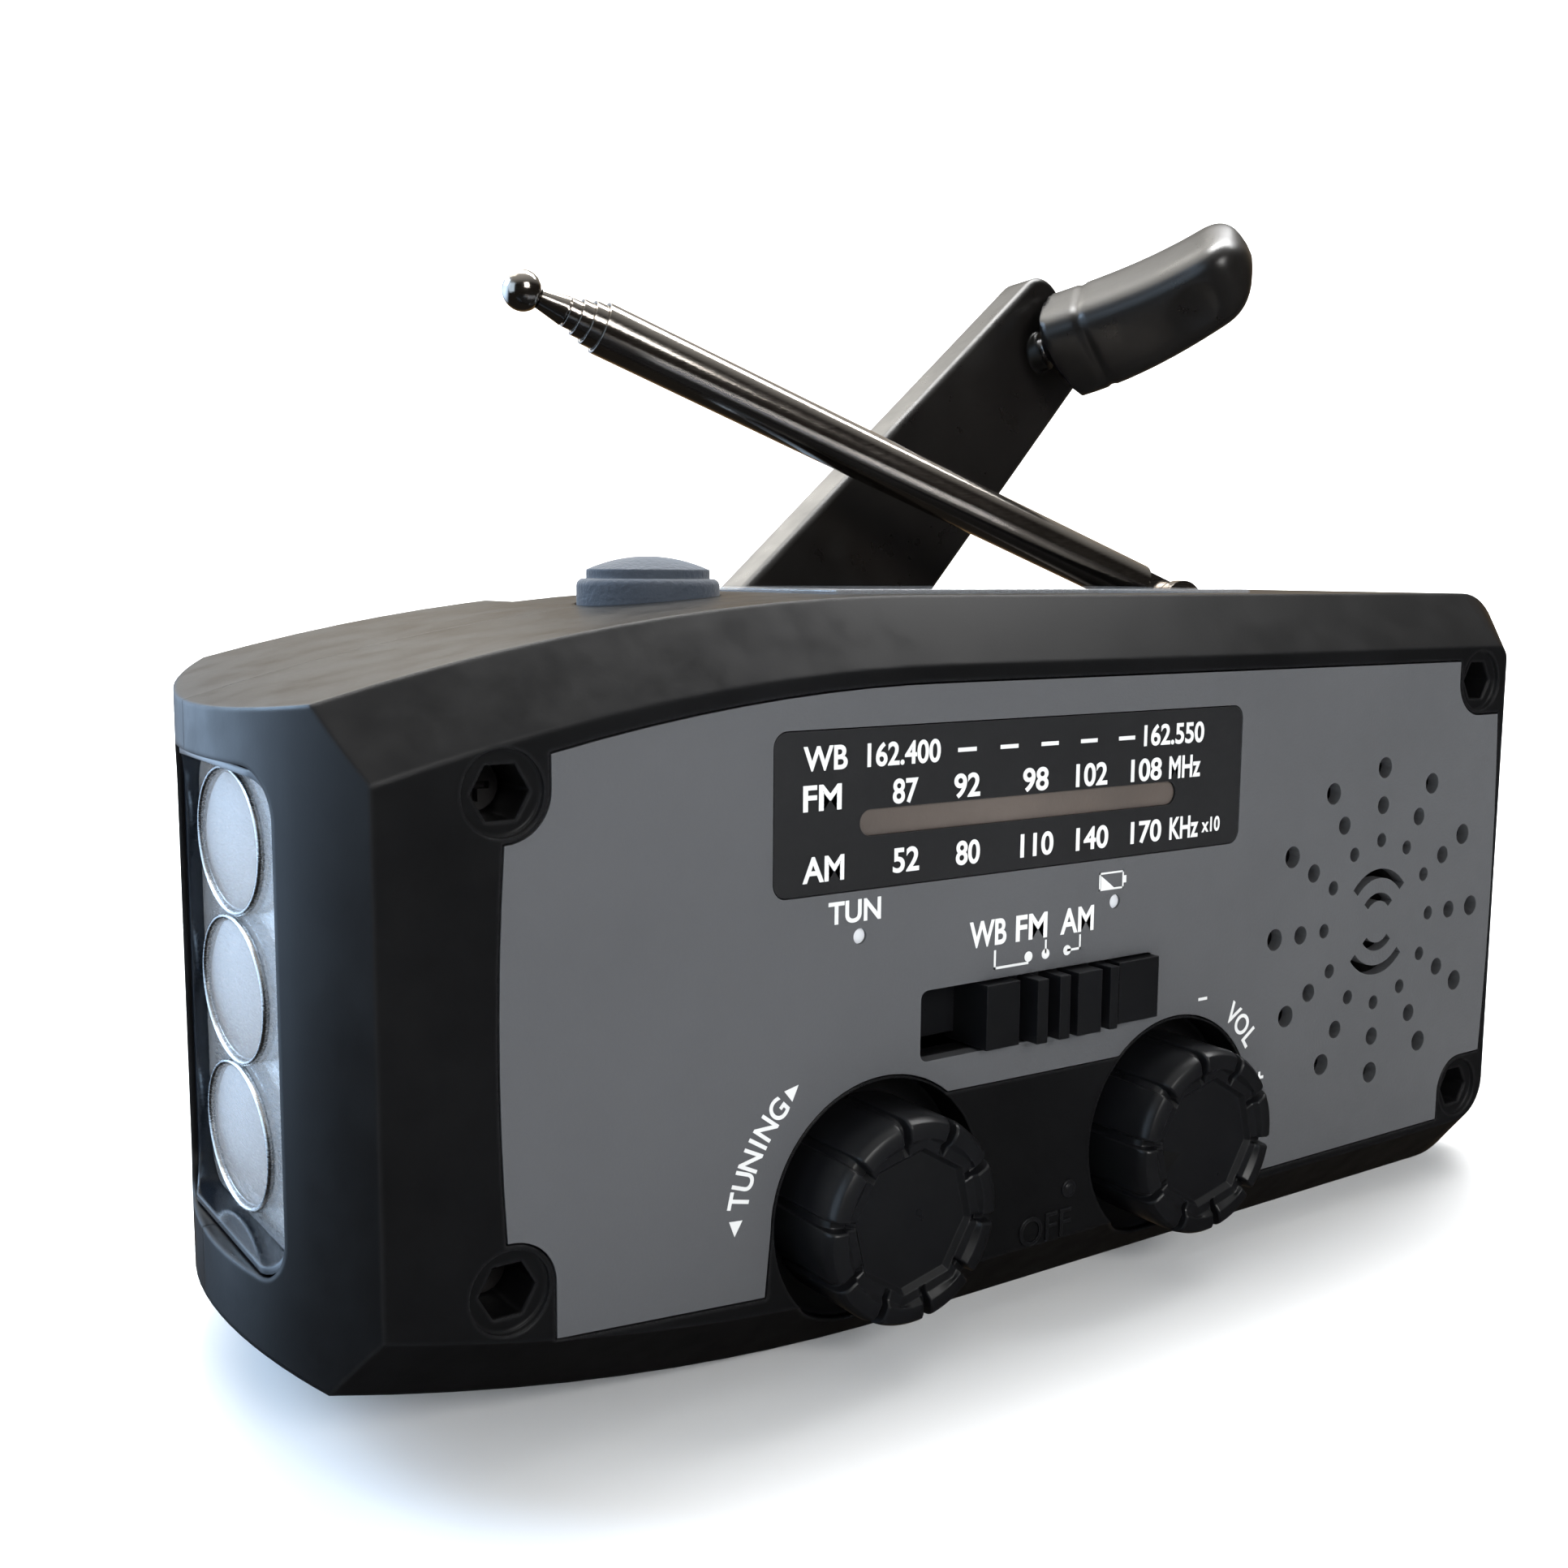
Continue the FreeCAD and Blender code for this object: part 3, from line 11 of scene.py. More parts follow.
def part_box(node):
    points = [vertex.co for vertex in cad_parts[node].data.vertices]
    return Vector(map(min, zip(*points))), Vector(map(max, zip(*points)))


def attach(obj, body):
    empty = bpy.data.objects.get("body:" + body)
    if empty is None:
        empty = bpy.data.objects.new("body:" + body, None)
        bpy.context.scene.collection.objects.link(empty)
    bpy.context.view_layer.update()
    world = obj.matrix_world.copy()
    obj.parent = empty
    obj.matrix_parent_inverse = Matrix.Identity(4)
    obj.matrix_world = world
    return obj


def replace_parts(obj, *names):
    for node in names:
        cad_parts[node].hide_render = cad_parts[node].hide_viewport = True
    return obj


MM = 0.001
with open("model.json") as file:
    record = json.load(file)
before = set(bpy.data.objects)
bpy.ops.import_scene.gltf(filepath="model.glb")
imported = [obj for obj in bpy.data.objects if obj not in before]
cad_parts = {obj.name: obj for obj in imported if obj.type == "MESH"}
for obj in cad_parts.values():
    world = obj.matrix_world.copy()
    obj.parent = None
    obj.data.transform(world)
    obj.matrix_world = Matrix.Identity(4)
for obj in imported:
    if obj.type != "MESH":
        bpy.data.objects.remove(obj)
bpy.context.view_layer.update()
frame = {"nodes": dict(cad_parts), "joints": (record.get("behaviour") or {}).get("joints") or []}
NODES = frame["nodes"]
JOINTS = {j["name"]: j for j in frame["joints"]}


# ------------------------------------------------------------------ materials
class Shader:
    """Builds one node material step by step."""

    def __init__(self, name):
        self.mat = bpy.data.materials.new(name)
        self.mat.use_nodes = True
        self.tree = self.mat.node_tree
        self.tree.nodes.clear()
        self.out = self.tree.nodes.new("ShaderNodeOutputMaterial")
        self.bsdf = self.tree.nodes.new("ShaderNodeBsdfPrincipled")
        self.link(self.bsdf.outputs[0], self.out.inputs["Surface"])
        self.coord = self.tree.nodes.new("ShaderNodeTexCoord").outputs["Object"]

    def link(self, a, b):
        self.tree.links.new(a, b)

    def add(self, kind, **values):
        node = self.tree.nodes.new(kind)
        for key, value in values.items():
            setattr(node, key, value)
        return node

    def noise(self, scale, detail=3.0, stretch=None, rough=0.55):
        node = self.add("ShaderNodeTexNoise")
        node.inputs["Scale"].default_value = scale
        node.inputs["Detail"].default_value = detail
        node.inputs["Roughness"].default_value = rough
        source = self.coord
        if stretch:
            mapping = self.add("ShaderNodeMapping")
            mapping.inputs["Scale"].default_value = stretch
            self.link(source, mapping.inputs["Vector"])
            source = mapping.outputs[0]
        self.link(source, node.inputs["Vector"])
        return node.outputs["Fac"]

    def spread(self, value, low, high, start=0.3, end=0.7):
        node = self.add("ShaderNodeMapRange")
        node.inputs["From Min"].default_value = start
        node.inputs["From Max"].default_value = end
        node.inputs["To Min"].default_value = low
        node.inputs["To Max"].default_value = high
        self.link(value, node.inputs["Value"])
        return node.outputs[0]

    def mix(self, factor, a, b):
        node = self.add("ShaderNodeMix", data_type="RGBA")
        self.link(factor, node.inputs["Factor"])
        for index, value in ((6, a), (7, b)):
            if isinstance(value, tuple):
                node.inputs[index].default_value = (*value, 1.0)
            else:
                self.link(value, node.inputs[index])
        return node.outputs[2]

    def edges(self, radius):
        """A softened normal, and how near a point is to an edge."""
        bevel = self.add("ShaderNodeBevel", samples=4)
        bevel.inputs["Radius"].default_value = radius
        geometry = self.add("ShaderNodeNewGeometry")
        dot = self.add("ShaderNodeVectorMath", operation="DOT_PRODUCT")
        self.link(bevel.outputs[0], dot.inputs[0])
        self.link(geometry.outputs["Normal"], dot.inputs[1])
        return bevel.outputs[0], self.spread(dot.outputs["Value"], 1.0, 0.0, 0.8, 0.99)

    def bump(self, height, distance, normal=None, strength=1.0):
        node = self.add("ShaderNodeBump")
        node.inputs["Strength"].default_value = strength
        node.inputs["Distance"].default_value = distance
        self.link(height, node.inputs["Height"])
        if normal is not None:
            self.link(normal, node.inputs["Normal"])
        return node.outputs[0]


def moulded(name, base, rough, grain=5200, depth=0.03, bevel=0.3, tint=0.25, wear=0.5, spec=0.5,
            coat=0.0, sheen=0.0):
    """Moulded plastic or rubber: blotchy tone, fine grain, soft edges that are rubbed a little."""
    s = Shader(name)
    blotch = s.noise(55, 4)
    fine = s.noise(grain, 2)
    dark = tuple(c * (1 - tint) for c in base)
    light = tuple(min(1, c * (1 + tint)) for c in base)
    colour = s.mix(s.spread(blotch, 0, 1), dark, light)
    normal, edge = s.edges(bevel * MM)
    rubbed = tuple(min(1, c * (1 + wear) + 0.012 * wear) for c in base)
    colour = s.mix(edge, colour, rubbed)
    s.link(colour, s.bsdf.inputs["Base Color"])
    s.link(s.spread(s.noise(260, 4), rough - 0.06, rough + 0.06), s.bsdf.inputs["Roughness"])
    s.link(s.bump(fine, depth * MM, normal), s.bsdf.inputs["Normal"])
    s.bsdf.inputs["Specular IOR Level"].default_value = spec
    s.bsdf.inputs["Coat Weight"].default_value = coat
    s.bsdf.inputs["Coat Roughness"].default_value = 0.12
    s.bsdf.inputs["Sheen Weight"].default_value = sheen
    return s.mat


def metal(name, base, rough, stretch=None, depth=0.004, bevel=0.15, tint=0.08):
    """Plated or machined metal with faint draw lines and a little uneven polish."""
    s = Shader(name)
    lines = s.noise(900, 3, stretch)
    dark = tuple(c * (1 - tint) for c in base)
    s.link(s.mix(s.spread(s.noise(90, 3), 0, 1), dark, base), s.bsdf.inputs["Base Color"])
    s.bsdf.inputs["Metallic"].default_value = 1.0
    s.link(s.spread(lines, rough * 0.7, rough * 1.4), s.bsdf.inputs["Roughness"])
    normal, _ = s.edges(bevel * MM)
    s.link(s.bump(lines, depth * MM, normal), s.bsdf.inputs["Normal"])
    return s.mat


def clear(name, base, rough=0.03, alpha=0.25):
    """Clear plastic, seen through, with faint waviness and hairline scuffs."""
    s = Shader(name)
    scuff = s.noise(700, 4, (1, 1, 6))
    s.bsdf.inputs["Base Color"].default_value = (*base, 1)
    s.link(s.spread(scuff, rough, rough + 0.08), s.bsdf.inputs["Roughness"])
    s.bsdf.inputs["Alpha"].default_value = alpha
    s.bsdf.inputs["Specular IOR Level"].default_value = 0.8
    s.link(s.bump(s.noise(220, 2), 0.01 * MM), s.bsdf.inputs["Normal"])
    return s.mat


CASE = moulded("case_black", (0.0045, 0.0045, 0.005), 0.34, grain=4200, depth=0.003, bevel=0.5,
               wear=0.6, spec=0.22)
PANEL = moulded("panel_grey", (0.070, 0.071, 0.075), 0.6, grain=3600, depth=0.03, bevel=0.12,
                tint=0.04, wear=0.5, spec=0.22)
DIAL = moulded("dial_grey", (0.013, 0.013, 0.014), 0.55, depth=0.008, bevel=0.1, tint=0.08,
               wear=0.6, spec=0.25)
KNOB = moulded("knob_black", (0.0050, 0.0052, 0.0062), 0.33, grain=3000, depth=0.003, bevel=0.16,
               wear=0.5, spec=0.5)
GLOSS = moulded("torch_gloss", (0.008, 0.011, 0.016), 0.16, depth=0.004, bevel=0.3, wear=0.4,
                coat=0.2)
ARM = moulded("crank_black", (0.0065, 0.0055, 0.005), 0.32, grain=3800, depth=0.004, bevel=0.5,
              wear=0.3, spec=0.45)
BLUE = moulded("button_rubber", (0.034, 0.042, 0.056), 0.72, grain=2200, depth=0.09, bevel=0.35,
               wear=0.4, spec=0.3, sheen=0.15)
RUBBER = moulded("cover_rubber", (0.018, 0.018, 0.019), 0.7, grain=2600, depth=0.06, bevel=0.3,
                 wear=0.5)
INK = moulded("print_white", (0.60, 0.60, 0.59), 0.6, grain=6000, depth=0.004, bevel=0.01,
              tint=0.08, wear=0.0)
# Painted shade: a near-black colour for the thin raised triangle on the volume knob, standing in for
# the shade inside a sunken pointer notch.
NOTCH_SHADE = moulded("painted_notch_shade", (0.003, 0.003, 0.003), 0.5, depth=0.004, bevel=0.01, wear=0.0)
BROWN = moulded("slit_tint", (0.085, 0.068, 0.058), 0.4, grain=2600, depth=0.02, bevel=0.1,
                wear=0.2)
RED = moulded("pointer_red", (0.32, 0.10, 0.06), 0.4, depth=0.01, bevel=0.08)
CHROME = metal("chrome", (0.50, 0.46, 0.42), 0.13, (1, 1, 14), 0.006, tint=0.25)
STEEL = metal("steel", (0.50, 0.50, 0.51), 0.30, (1, 1, 8), 0.008)
SCREW = moulded("screw_black", (0.007, 0.006, 0.006), 0.36, depth=0.01, bevel=0.12, wear=0.3,
                spec=0.35)
BRASS = metal("brass", (0.66, 0.47, 0.21), 0.28, (1, 8, 1), 0.006)
MIRROR = metal("mirror_cup", (0.70, 0.69, 0.68), 0.24, (1, 1, 5), 0.03, tint=0.35)
COPPER = metal("copper", (0.60, 0.27, 0.12), 0.3, (40, 1, 1), 0.02)
BOARD = moulded("board_green", (0.02, 0.10, 0.045), 0.4, grain=1800, depth=0.01, bevel=0.1)
BOARD_BLACK = moulded("board_black", (0.006, 0.007, 0.007), 0.5, grain=1800, depth=0.01,
                      bevel=0.1, spec=0.2)
PAPER = moulded("paper_cone", (0.010, 0.010, 0.010), 0.85, grain=1500, depth=0.08, bevel=0.1)
FERRITE = moulded("ferrite", (0.045, 0.042, 0.042), 0.6, grain=2400, depth=0.05)
GEAR = moulded("acetal_white", (0.68, 0.67, 0.62), 0.45, depth=0.01, bevel=0.1, tint=0.05)
WRAP = moulded("battery_wrap", (0.03, 0.13, 0.25), 0.28, depth=0.006, bevel=0.3)
CELL = moulded("solar_cell", (0.012, 0.016, 0.045), 0.22, grain=900, depth=0.01, bevel=0.05)
CLEAR = clear("clear_plastic", (0.50, 0.52, 0.55), alpha=0.22)
BULB = clear("bulge_clear", (0.42, 0.43, 0.45), 0.04, alpha=0.42)
LAMP = clear("lamp_clear", (0.92, 0.94, 0.97), 0.02, alpha=0.6)


def dress(material, names):
    for name in names.split():
        mesh = NODES[name].data
        mesh.materials.clear()
        mesh.materials.append(material)


dress(CASE, "front_shell rear_shell")
dress(PANEL, "front_panel")
dress(DIAL, "dial_window dial_back")
dress(BROWN, "dial_lens")
dress(RED, "dial_pointer")
dress(KNOB, "tuning_knob volume_knob band_slider")
dress(GLOSS, "torch_bezel")
dress(ARM, "crank_hub crank_arm crank_grip")
dress(BLUE, "light_button")
dress(RUBBER, "port_cover")
dress(CHROME, "antenna_tube_1 antenna_tube_2 antenna_tube_3 antenna_tube_4 antenna_tip "
      "antenna_swivel antenna_pivot_pin")
dress(SCREW, "case_screws")
dress(STEEL, "board_screws crank_hinge_pin grip_pin idler_axle antenna_bracket usb_port charge_port "
      "tuning_shaft volume_shaft generator_housing speaker_frame battery_bracket")
dress(BRASS, "crank_bush")
dress(MIRROR, "torch_reflector")
dress(COPPER, "ferrite_coil")
dress(BOARD_BLACK, "main_board")
dress(BOARD, "torch_board port_board light_switch")
dress(PAPER, "speaker_cone")
dress(FERRITE, "speaker_magnet generator_rotor ferrite_rod")
dress(GEAR, "crank_gear idler_gear gearbox_plate tuning_capacitor volume_potentiometer band_switch")
dress(WRAP, "battery_pack")
dress(CELL, "solar_cell")
dress(CLEAR, "solar_window torch_lens")
dress(LAMP, "torch_leds indicator_lights")


# ------------------------------------------------------------------ mesh helpers
def piece(name, mesh, material, body, smooth=35):
    """A new object that rides on a body; edges sharper than smooth degrees stay hard."""
    obj = bpy.data.objects.new(name, mesh)
    bpy.context.scene.collection.objects.link(obj)
    mesh.materials.clear()
    mesh.materials.append(material)
    for polygon in mesh.polygons:
        polygon.use_smooth = True
    mesh.set_sharp_from_angle(angle=math.radians(smooth))
    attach(obj, body)
    return obj


def from_faces(name, points, faces):
    """A mesh with its faces all turned outward."""
    mesh = bpy.data.meshes.new(name)
    mesh.from_pydata([tuple(p) for p in points], [], faces)
    mesh.validate()
    shape = bmesh.new()
    shape.from_mesh(mesh)
    bmesh.ops.recalc_face_normals(shape, faces=shape.faces)
    shape.to_mesh(mesh)
    shape.free()
    return mesh


def band_faces(rows, count, closed=False):
    """Quads from each ring of points to the next, and from the last to the first when closed."""
    faces = []
    for r in range(rows if closed else rows - 1):
        after = (r + 1) % rows
        for k in range(count):
            n = (k + 1) % count
            faces.append((r * count + k, r * count + n, after * count + n, after * count + k))
    return faces


def rings_to_mesh(name, rings):
    """Rings of equal length joined into one closed skin, its two ends closed by fans."""
    count = len(rings[0])
    points = [p for ring in rings for p in ring]
    faces = band_faces(len(rings), count)
    for r in (0, len(rings) - 1):
        centre = sum((Vector(p) for p in rings[r]), Vector()) / count
        points.append(centre)
        for k in range(count):
            faces.append((r * count + k, r * count + (k + 1) % count, len(points) - 1))
    return from_faces(name, points, faces)


TREES = {}


def tree_of(node):
    """A search tree over a node's faces, made once."""
    if node not in TREES:
        mesh = NODES[node].data
        TREES[node] = BVHTree.FromPolygons(
            [v.co.copy() for v in mesh.vertices], [tuple(p.vertices) for p in mesh.polygons])
    return TREES[node]


def front_centre(node):
    """The (x, z) middle of a node's box, as seen from the front."""
    low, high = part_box(node)
    return (low[0] + high[0]) / 2, (low[2] + high[2]) / 2


def front_of(node, x, z, otherwise):
    """The y of a node's front surface at a place seen from the front."""
    hit = tree_of(node).ray_cast(Vector((x, -0.1, z)), Vector((0, 1, 0)))
    return hit[0].y if hit[0] is not None else otherwise


def smoothstep(low, high, value):
    """An even rise from 0 at low to 1 at high."""
    t = min(1.0, max(0.0, (value - low) / (high - low)))
    return t * t * (3 - 2 * t)


# ------------------------------------------------------------------ knobs
KNOB_LOBES = 10
KNOB_FLATS = 8
KNOB_STEPS = 360
KNOB_PHASE = math.radians(9)
KNOB_FLUTE = 0.03           # depth of a flute, as a share of the radius
KNOB_NOTCH = 0.11           # depth of a notch in the rim, as a share of the height
KNOB_DISC = 0.14            # how far the disc is sunk, as a share of the height
DISC_SWELL = 1.03           # the disc is this much larger than one inside its circle
# From the back to the middle of the disc: share of the radius, share of the height from the
# front, whether it is fluted rather than flat-sided, and whether the notches cut into it.
KNOB_PROFILE = (
    (1.0, 1.0, 1, 0), (1.0, 0.55, 1, 0), (1.0, 0.17, 1, 1), (0.985, 0.10, 1, 1),
    (0.95, 0.05, 1, 1), (0.91, 0.03, 1, 1), (0.80, 0.03, 1, 1), (0.775, 0.075, 0, 1),
    (0.68, 0.085, 0, 0), (0.63, KNOB_DISC, 0, 0), (0.30, KNOB_DISC, 0, 0), (0.05, KNOB_DISC, 0, 0),
)
# The pointer mark's tip, base and half width, as shares of the knob's radius.
MARK_TIP = 0.36
MARK_BASE = 0.60
MARK_HALF = 0.13
MARK_RISE = 0.03 * MM
MARK_THICK = 0.06 * MM


def knob(name, node, body, pointer):
    """A fluted knob with a castellated rim and a sunken eight-sided disc."""
    low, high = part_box(node)
    centre = front_centre(node)
    radius = (high[0] - low[0]) / 2
    front = low[1]
    back = high[1]

    def lobe(angle):
        turn = ((angle + KNOB_PHASE) * KNOB_LOBES / (2 * math.pi)) % 1.0
        return min(turn, 1 - turn)

    rings = []
    for r_part, y_part, flute, drop in KNOB_PROFILE:
        ring = []
        for k in range(KNOB_STEPS):
            angle = 2 * math.pi * k / KNOB_STEPS
            gap = 1 - smoothstep(0.06, 0.09, lobe(angle))
            r = radius * r_part * (1 - KNOB_FLUTE * gap * flute)
            y = front + (back - front) * (y_part + KNOB_NOTCH * gap * drop)
            if not flute:
                side_turn = math.pi / KNOB_FLATS
                off_middle = (angle + KNOB_PHASE) % (2 * side_turn) - side_turn
                r *= math.cos(side_turn) / math.cos(off_middle) * DISC_SWELL
            ring.append((centre[0] + r * math.cos(angle), y, centre[1] + r * math.sin(angle)))
        rings.append(ring)
    shape = piece(name, rings_to_mesh(name, rings), KNOB, body, 28)
    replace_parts(shape, node)
    if pointer is not None:
        disc = front + (back - front) * KNOB_DISC - MARK_RISE
        knob_mark(name + "_mark", body, Vector((centre[0], disc, centre[1])), radius, pointer)


def knob_mark(name, body, middle, radius, degrees):
    """A small triangle on the disc that points to the middle, coloured near-black as painted shade
    in place of a sunken pointer notch.
    """
    angle = math.radians(degrees)
    across = Vector((-math.sin(angle), 0, math.cos(angle)))
    along = Vector((math.cos(angle), 0, math.sin(angle)))
    corners = [
        middle + along * radius * MARK_TIP,
        middle + along * radius * MARK_BASE + across * radius * MARK_HALF,
        middle + along * radius * MARK_BASE - across * radius * MARK_HALF,
    ]
    inner = [c + Vector((0, MARK_THICK, 0)) for c in corners]
    mark = from_faces(
        name, corners + inner,
        [(0, 1, 2), (5, 4, 3), (0, 3, 4, 1), (1, 4, 5, 2), (2, 5, 3, 0)])
    piece(name, mark, NOTCH_SHADE, body)


knob("tuning_knob_shape", "tuning_knob", "tuning", None)
knob("volume_knob_shape", "volume_knob", "volume", 191)


# ------------------------------------------------------------------ torch
TORCH_CUPS = 3
LINER_WALL = 0.5 * MM
LINER_GAP = 0.1 * MM        # room between the liner and the case
LINER_LIP = 0.25 * MM       # how far its edge sits behind the end face
LINER_PROBE = 0.8 * MM      # the end face is measured this far outside the opening
CORNER = 3.3 * MM
PLATE_INSET = 0.6 * MM
PLATE_THICK = 0.5 * MM
MIRROR_NEAR = 0.7 * MM      # the mirror floor's two faces, behind the plate's front
MIRROR_FAR = 1.0 * MM
BULGE = 1.3 * MM
BULGE_ROUND = 0.8           # less than 1 makes a fuller dome
BULGE_SINK = 0.3 * MM
BULGE_ROWS = 14
BULGE_STEPS = 72
BULGE_SHARE = 0.98          # of the height that each bulge has
BULB_SHIFT = 2.4 * MM
BULB_HALF_WIDE = 7.2 * MM
STACK_MARGIN = 0.9 * MM
RING_THICK = 0.25 * MM
RING_SPREAD = 0.035
RING_SHARE = 0.96
RING_STEPS = 12


def rounded_outline(middle, half_wide, half_high, corner, steps=8):
    """Corner by corner, the (y, z) points of a rectangle with round corners."""
    points = []
    for quarter, (sy, sz) in enumerate(((1, 1), (-1, 1), (-1, -1), (1, -1))):
        for k in range(steps + 1):
            turn = math.radians(90 * (quarter + k / steps))
            y = middle[0] + sy * (half_wide - corner) + corner * math.cos(turn)
            points.append((y, middle[1] + sz * (half_high - corner) + corner * math.sin(turn)))
    return points


def end_face(y, z, otherwise):
    """The x of the case's left end at a height and depth."""
    places = []
    for node in ("front_shell", "rear_shell"):
        hit = tree_of(node).ray_cast(Vector((-0.1, y, z)), Vector((1, 0, 0)))
        if hit[0] is not None:
            places.append(hit[0].x)
    return min(places) if places else otherwise


def torch_liner(low, middle, half_wide, half_high, back):
    """A thin glossy liner that follows the curved end face."""
    outer = rounded_outline(middle, half_wide, half_high, CORNER)
    inner = rounded_outline(
        middle, half_wide - LINER_WALL, half_high - LINER_WALL, CORNER - LINER_WALL)
    rim = rounded_outline(
        middle, half_wide + LINER_PROBE, half_high + LINER_PROBE, CORNER + LINER_PROBE)
    edge = [end_face(y, z, low[0]) + LINER_LIP for y, z in rim]
    rings = [
        [(x, y, z) for x, (y, z) in zip(edge, outer)],
        [(x, y, z) for x, (y, z) in zip(edge, inner)],
        [(back, y, z) for y, z in inner],
        [(back, y, z) for y, z in outer],
    ]
    faces = band_faces(len(rings), len(outer), closed=True)
    liner = from_faces("torch_liner", [p for ring in rings for p in ring], faces)
    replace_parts(piece("torch_liner", liner, GLOSS, "casing", 30), "torch_bezel")


def torch_slab(name, outline, x0, x1, material):
    """A flat slab with the given outline, between two depths."""
    sides = [[(x, y, z) for y, z in outline] for x in (x0, x1)]
    return piece(name, rings_to_mesh(name, sides), material, "casing", 40)


def torch_bulge(number, face, y, z, pitch):
    """One oval clear bulge and the fine bright ring round it."""
    name = "torch_bulge_" + str(number)
    around = [2 * math.pi * k / BULGE_STEPS for k in range(BULGE_STEPS)]
    shells = []
    for row in range(BULGE_ROWS):
        u = row / (BULGE_ROWS - 1)
        lift = BULGE * math.cos(u * math.pi / 2) ** BULGE_ROUND
        wide = BULB_HALF_WIDE * max(u, 0.03)
        tall = pitch / 2 * BULGE_SHARE * max(u, 0.03)
        shells.append([
            (face - lift, y + wide * math.cos(turn), z + tall * math.sin(turn))
            for turn in around])
    shells.append([(face + BULGE_SINK, p[1], p[2]) for p in shells[-1]])
    piece(name, rings_to_mesh(name, shells), BULB, "casing", 50)

    name = "torch_ring_" + str(number)
    points = []
    for row in range(RING_STEPS + 1):
        turn = 2 * math.pi * row / RING_STEPS
        scale = 1 + RING_SPREAD * math.cos(turn)
        x = face - RING_THICK * (1 + math.sin(turn))
        points += [
            (x, y + BULB_HALF_WIDE * scale * math.cos(a),
             z + pitch / 2 * RING_SHARE * scale * math.sin(a))
            for a in around]
    ring = from_faces(name, points, band_faces(RING_STEPS + 1, BULGE_STEPS))
    piece(name, ring, MIRROR, "casing", 60)


def torch():
    """A thin glossy liner in the opening, a full-width clear plate and three oval bulges."""
    low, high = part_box("torch_bezel")
    lens_low, lens_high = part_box("torch_lens")
    middle = ((low[1] + high[1]) / 2, (low[2] + high[2]) / 2)
    half_wide = (high[1] - low[1]) / 2 - LINER_GAP
    half_high = (high[2] - low[2]) / 2 - LINER_GAP
    face = lens_low[0]
    torch_liner(low, middle, half_wide, half_high, lens_high[0])

    outline = rounded_outline(
        middle, half_wide - PLATE_INSET, half_high - PLATE_INSET, CORNER - PLATE_INSET)
    plate = torch_slab("torch_plate", outline, face, face + PLATE_THICK, CLEAR)
    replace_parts(plate, "torch_lens")
    torch_slab("torch_floor", outline, face + MIRROR_NEAR, face + MIRROR_FAR, MIRROR)

    pitch = 2 * (half_high - STACK_MARGIN) / TORCH_CUPS
    for number in range(TORCH_CUPS):
        z = middle[1] + (number - (TORCH_CUPS - 1) / 2) * pitch
        torch_bulge(number + 1, face, middle[0] + BULB_SHIFT, z, pitch)


torch()


# ------------------------------------------------------------------ crank grip
GRIP_ROOT = 1.5 * MM        # radius of the cone that the root stays inside, at its start
GRIP_ROOT_SPREAD = 2.4      # and how much that radius grows along the grip
GRIP_DROP = 0.9 * MM        # the whole grip is moved this far against the fold's axis
GRIP_BEND = 0.95
GRIP_LOWEST = 0.42          # where along the grip its bend is lowest
GRIP_ROUNDNESS = 4.2        # exponent of the section's superellipse
TIP_START = 0.80
COLLAR_AT = 0.24
COLLAR_HALF = 0.014
COLLAR_DEEP = 0.035
DIMPLE_AT = 0.74
DIMPLE_HALF = 0.13
DIMPLE_DEEP = 0.45 * MM
GRIP_STEPS = 96
GRIP_ROWS = 64


def grip_shape():
    """A swept, rounded grip with a thumb dimple and a collar seam by the arm."""
    spin = JOINTS["grip_spin"]
    foot = Vector(spin["pos_m"])
    along = Vector(spin["axis"]).normalized()
    side = Vector(JOINTS["crank_fold"]["axis"]).normalized()
    deep = along.cross(side)
    node = NODES["crank_grip"].data
    reach = [(v.co - foot).dot(along) for v in node.vertices]
    across = [(v.co - foot).dot(side) for v in node.vertices]
    depth = [(v.co - foot).dot(deep) for v in node.vertices]
    start, end = min(reach), max(reach)
    half_wide = (max(across) - min(across)) / 2
    half_deep = (max(depth) - min(depth)) / 2
    middle_deep = (max(depth) + min(depth)) / 2
    power = 2 / GRIP_ROUNDNESS
    rings = []
    for row in range(GRIP_ROWS + 1):
        u = row / GRIP_ROWS
        t = start + (end - start) * u
        past = max(0.0, (u - TIP_START) / (1 - TIP_START))
        tip = max(0.22, math.sqrt(max(0.0, 1 - past ** 2.8)))
        collar = 1 - COLLAR_DEEP * math.exp(-((u - COLLAR_AT) / COLLAR_HALF) ** 2)
        wide = half_wide * tip * collar * (1.10 - 0.20 * smoothstep(0.1, 1.0, u))
        thick = half_deep * tip * collar * (0.96 + 0.04 * smoothstep(0.15, 0.75, u))
        sweep = half_wide * (GRIP_BEND * (u - GRIP_LOWEST) ** 2 - 0.10) - GRIP_DROP
        root_reach = GRIP_ROOT + (t - start) * GRIP_ROOT_SPREAD
        ring = []
        for k in range(GRIP_STEPS):
            a = 2 * math.pi * k / GRIP_STEPS
            c, s = math.cos(a), math.sin(a)
            x = math.copysign(abs(c) ** power, c) * wide + sweep
            y = math.copysign(abs(s) ** power, s) * thick
            if y > 0:
                oval = ((u - DIMPLE_AT) / DIMPLE_HALF) ** 2 + ((x - sweep) / (wide * 0.6)) ** 2
                y -= DIMPLE_DEEP * (1 - smoothstep(0.1, 1.0, oval))
            y += middle_deep
            squeeze = min(1.0, root_reach / math.hypot(x, y))
            ring.append(foot + along * t + side * x * squeeze + deep * y * squeeze)
        rings.append(ring)
    name = "crank_grip_shape"
    shape = piece(name, rings_to_mesh(name, rings), ARM, "grip", 40)
    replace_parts(shape, "crank_grip")


grip_shape()


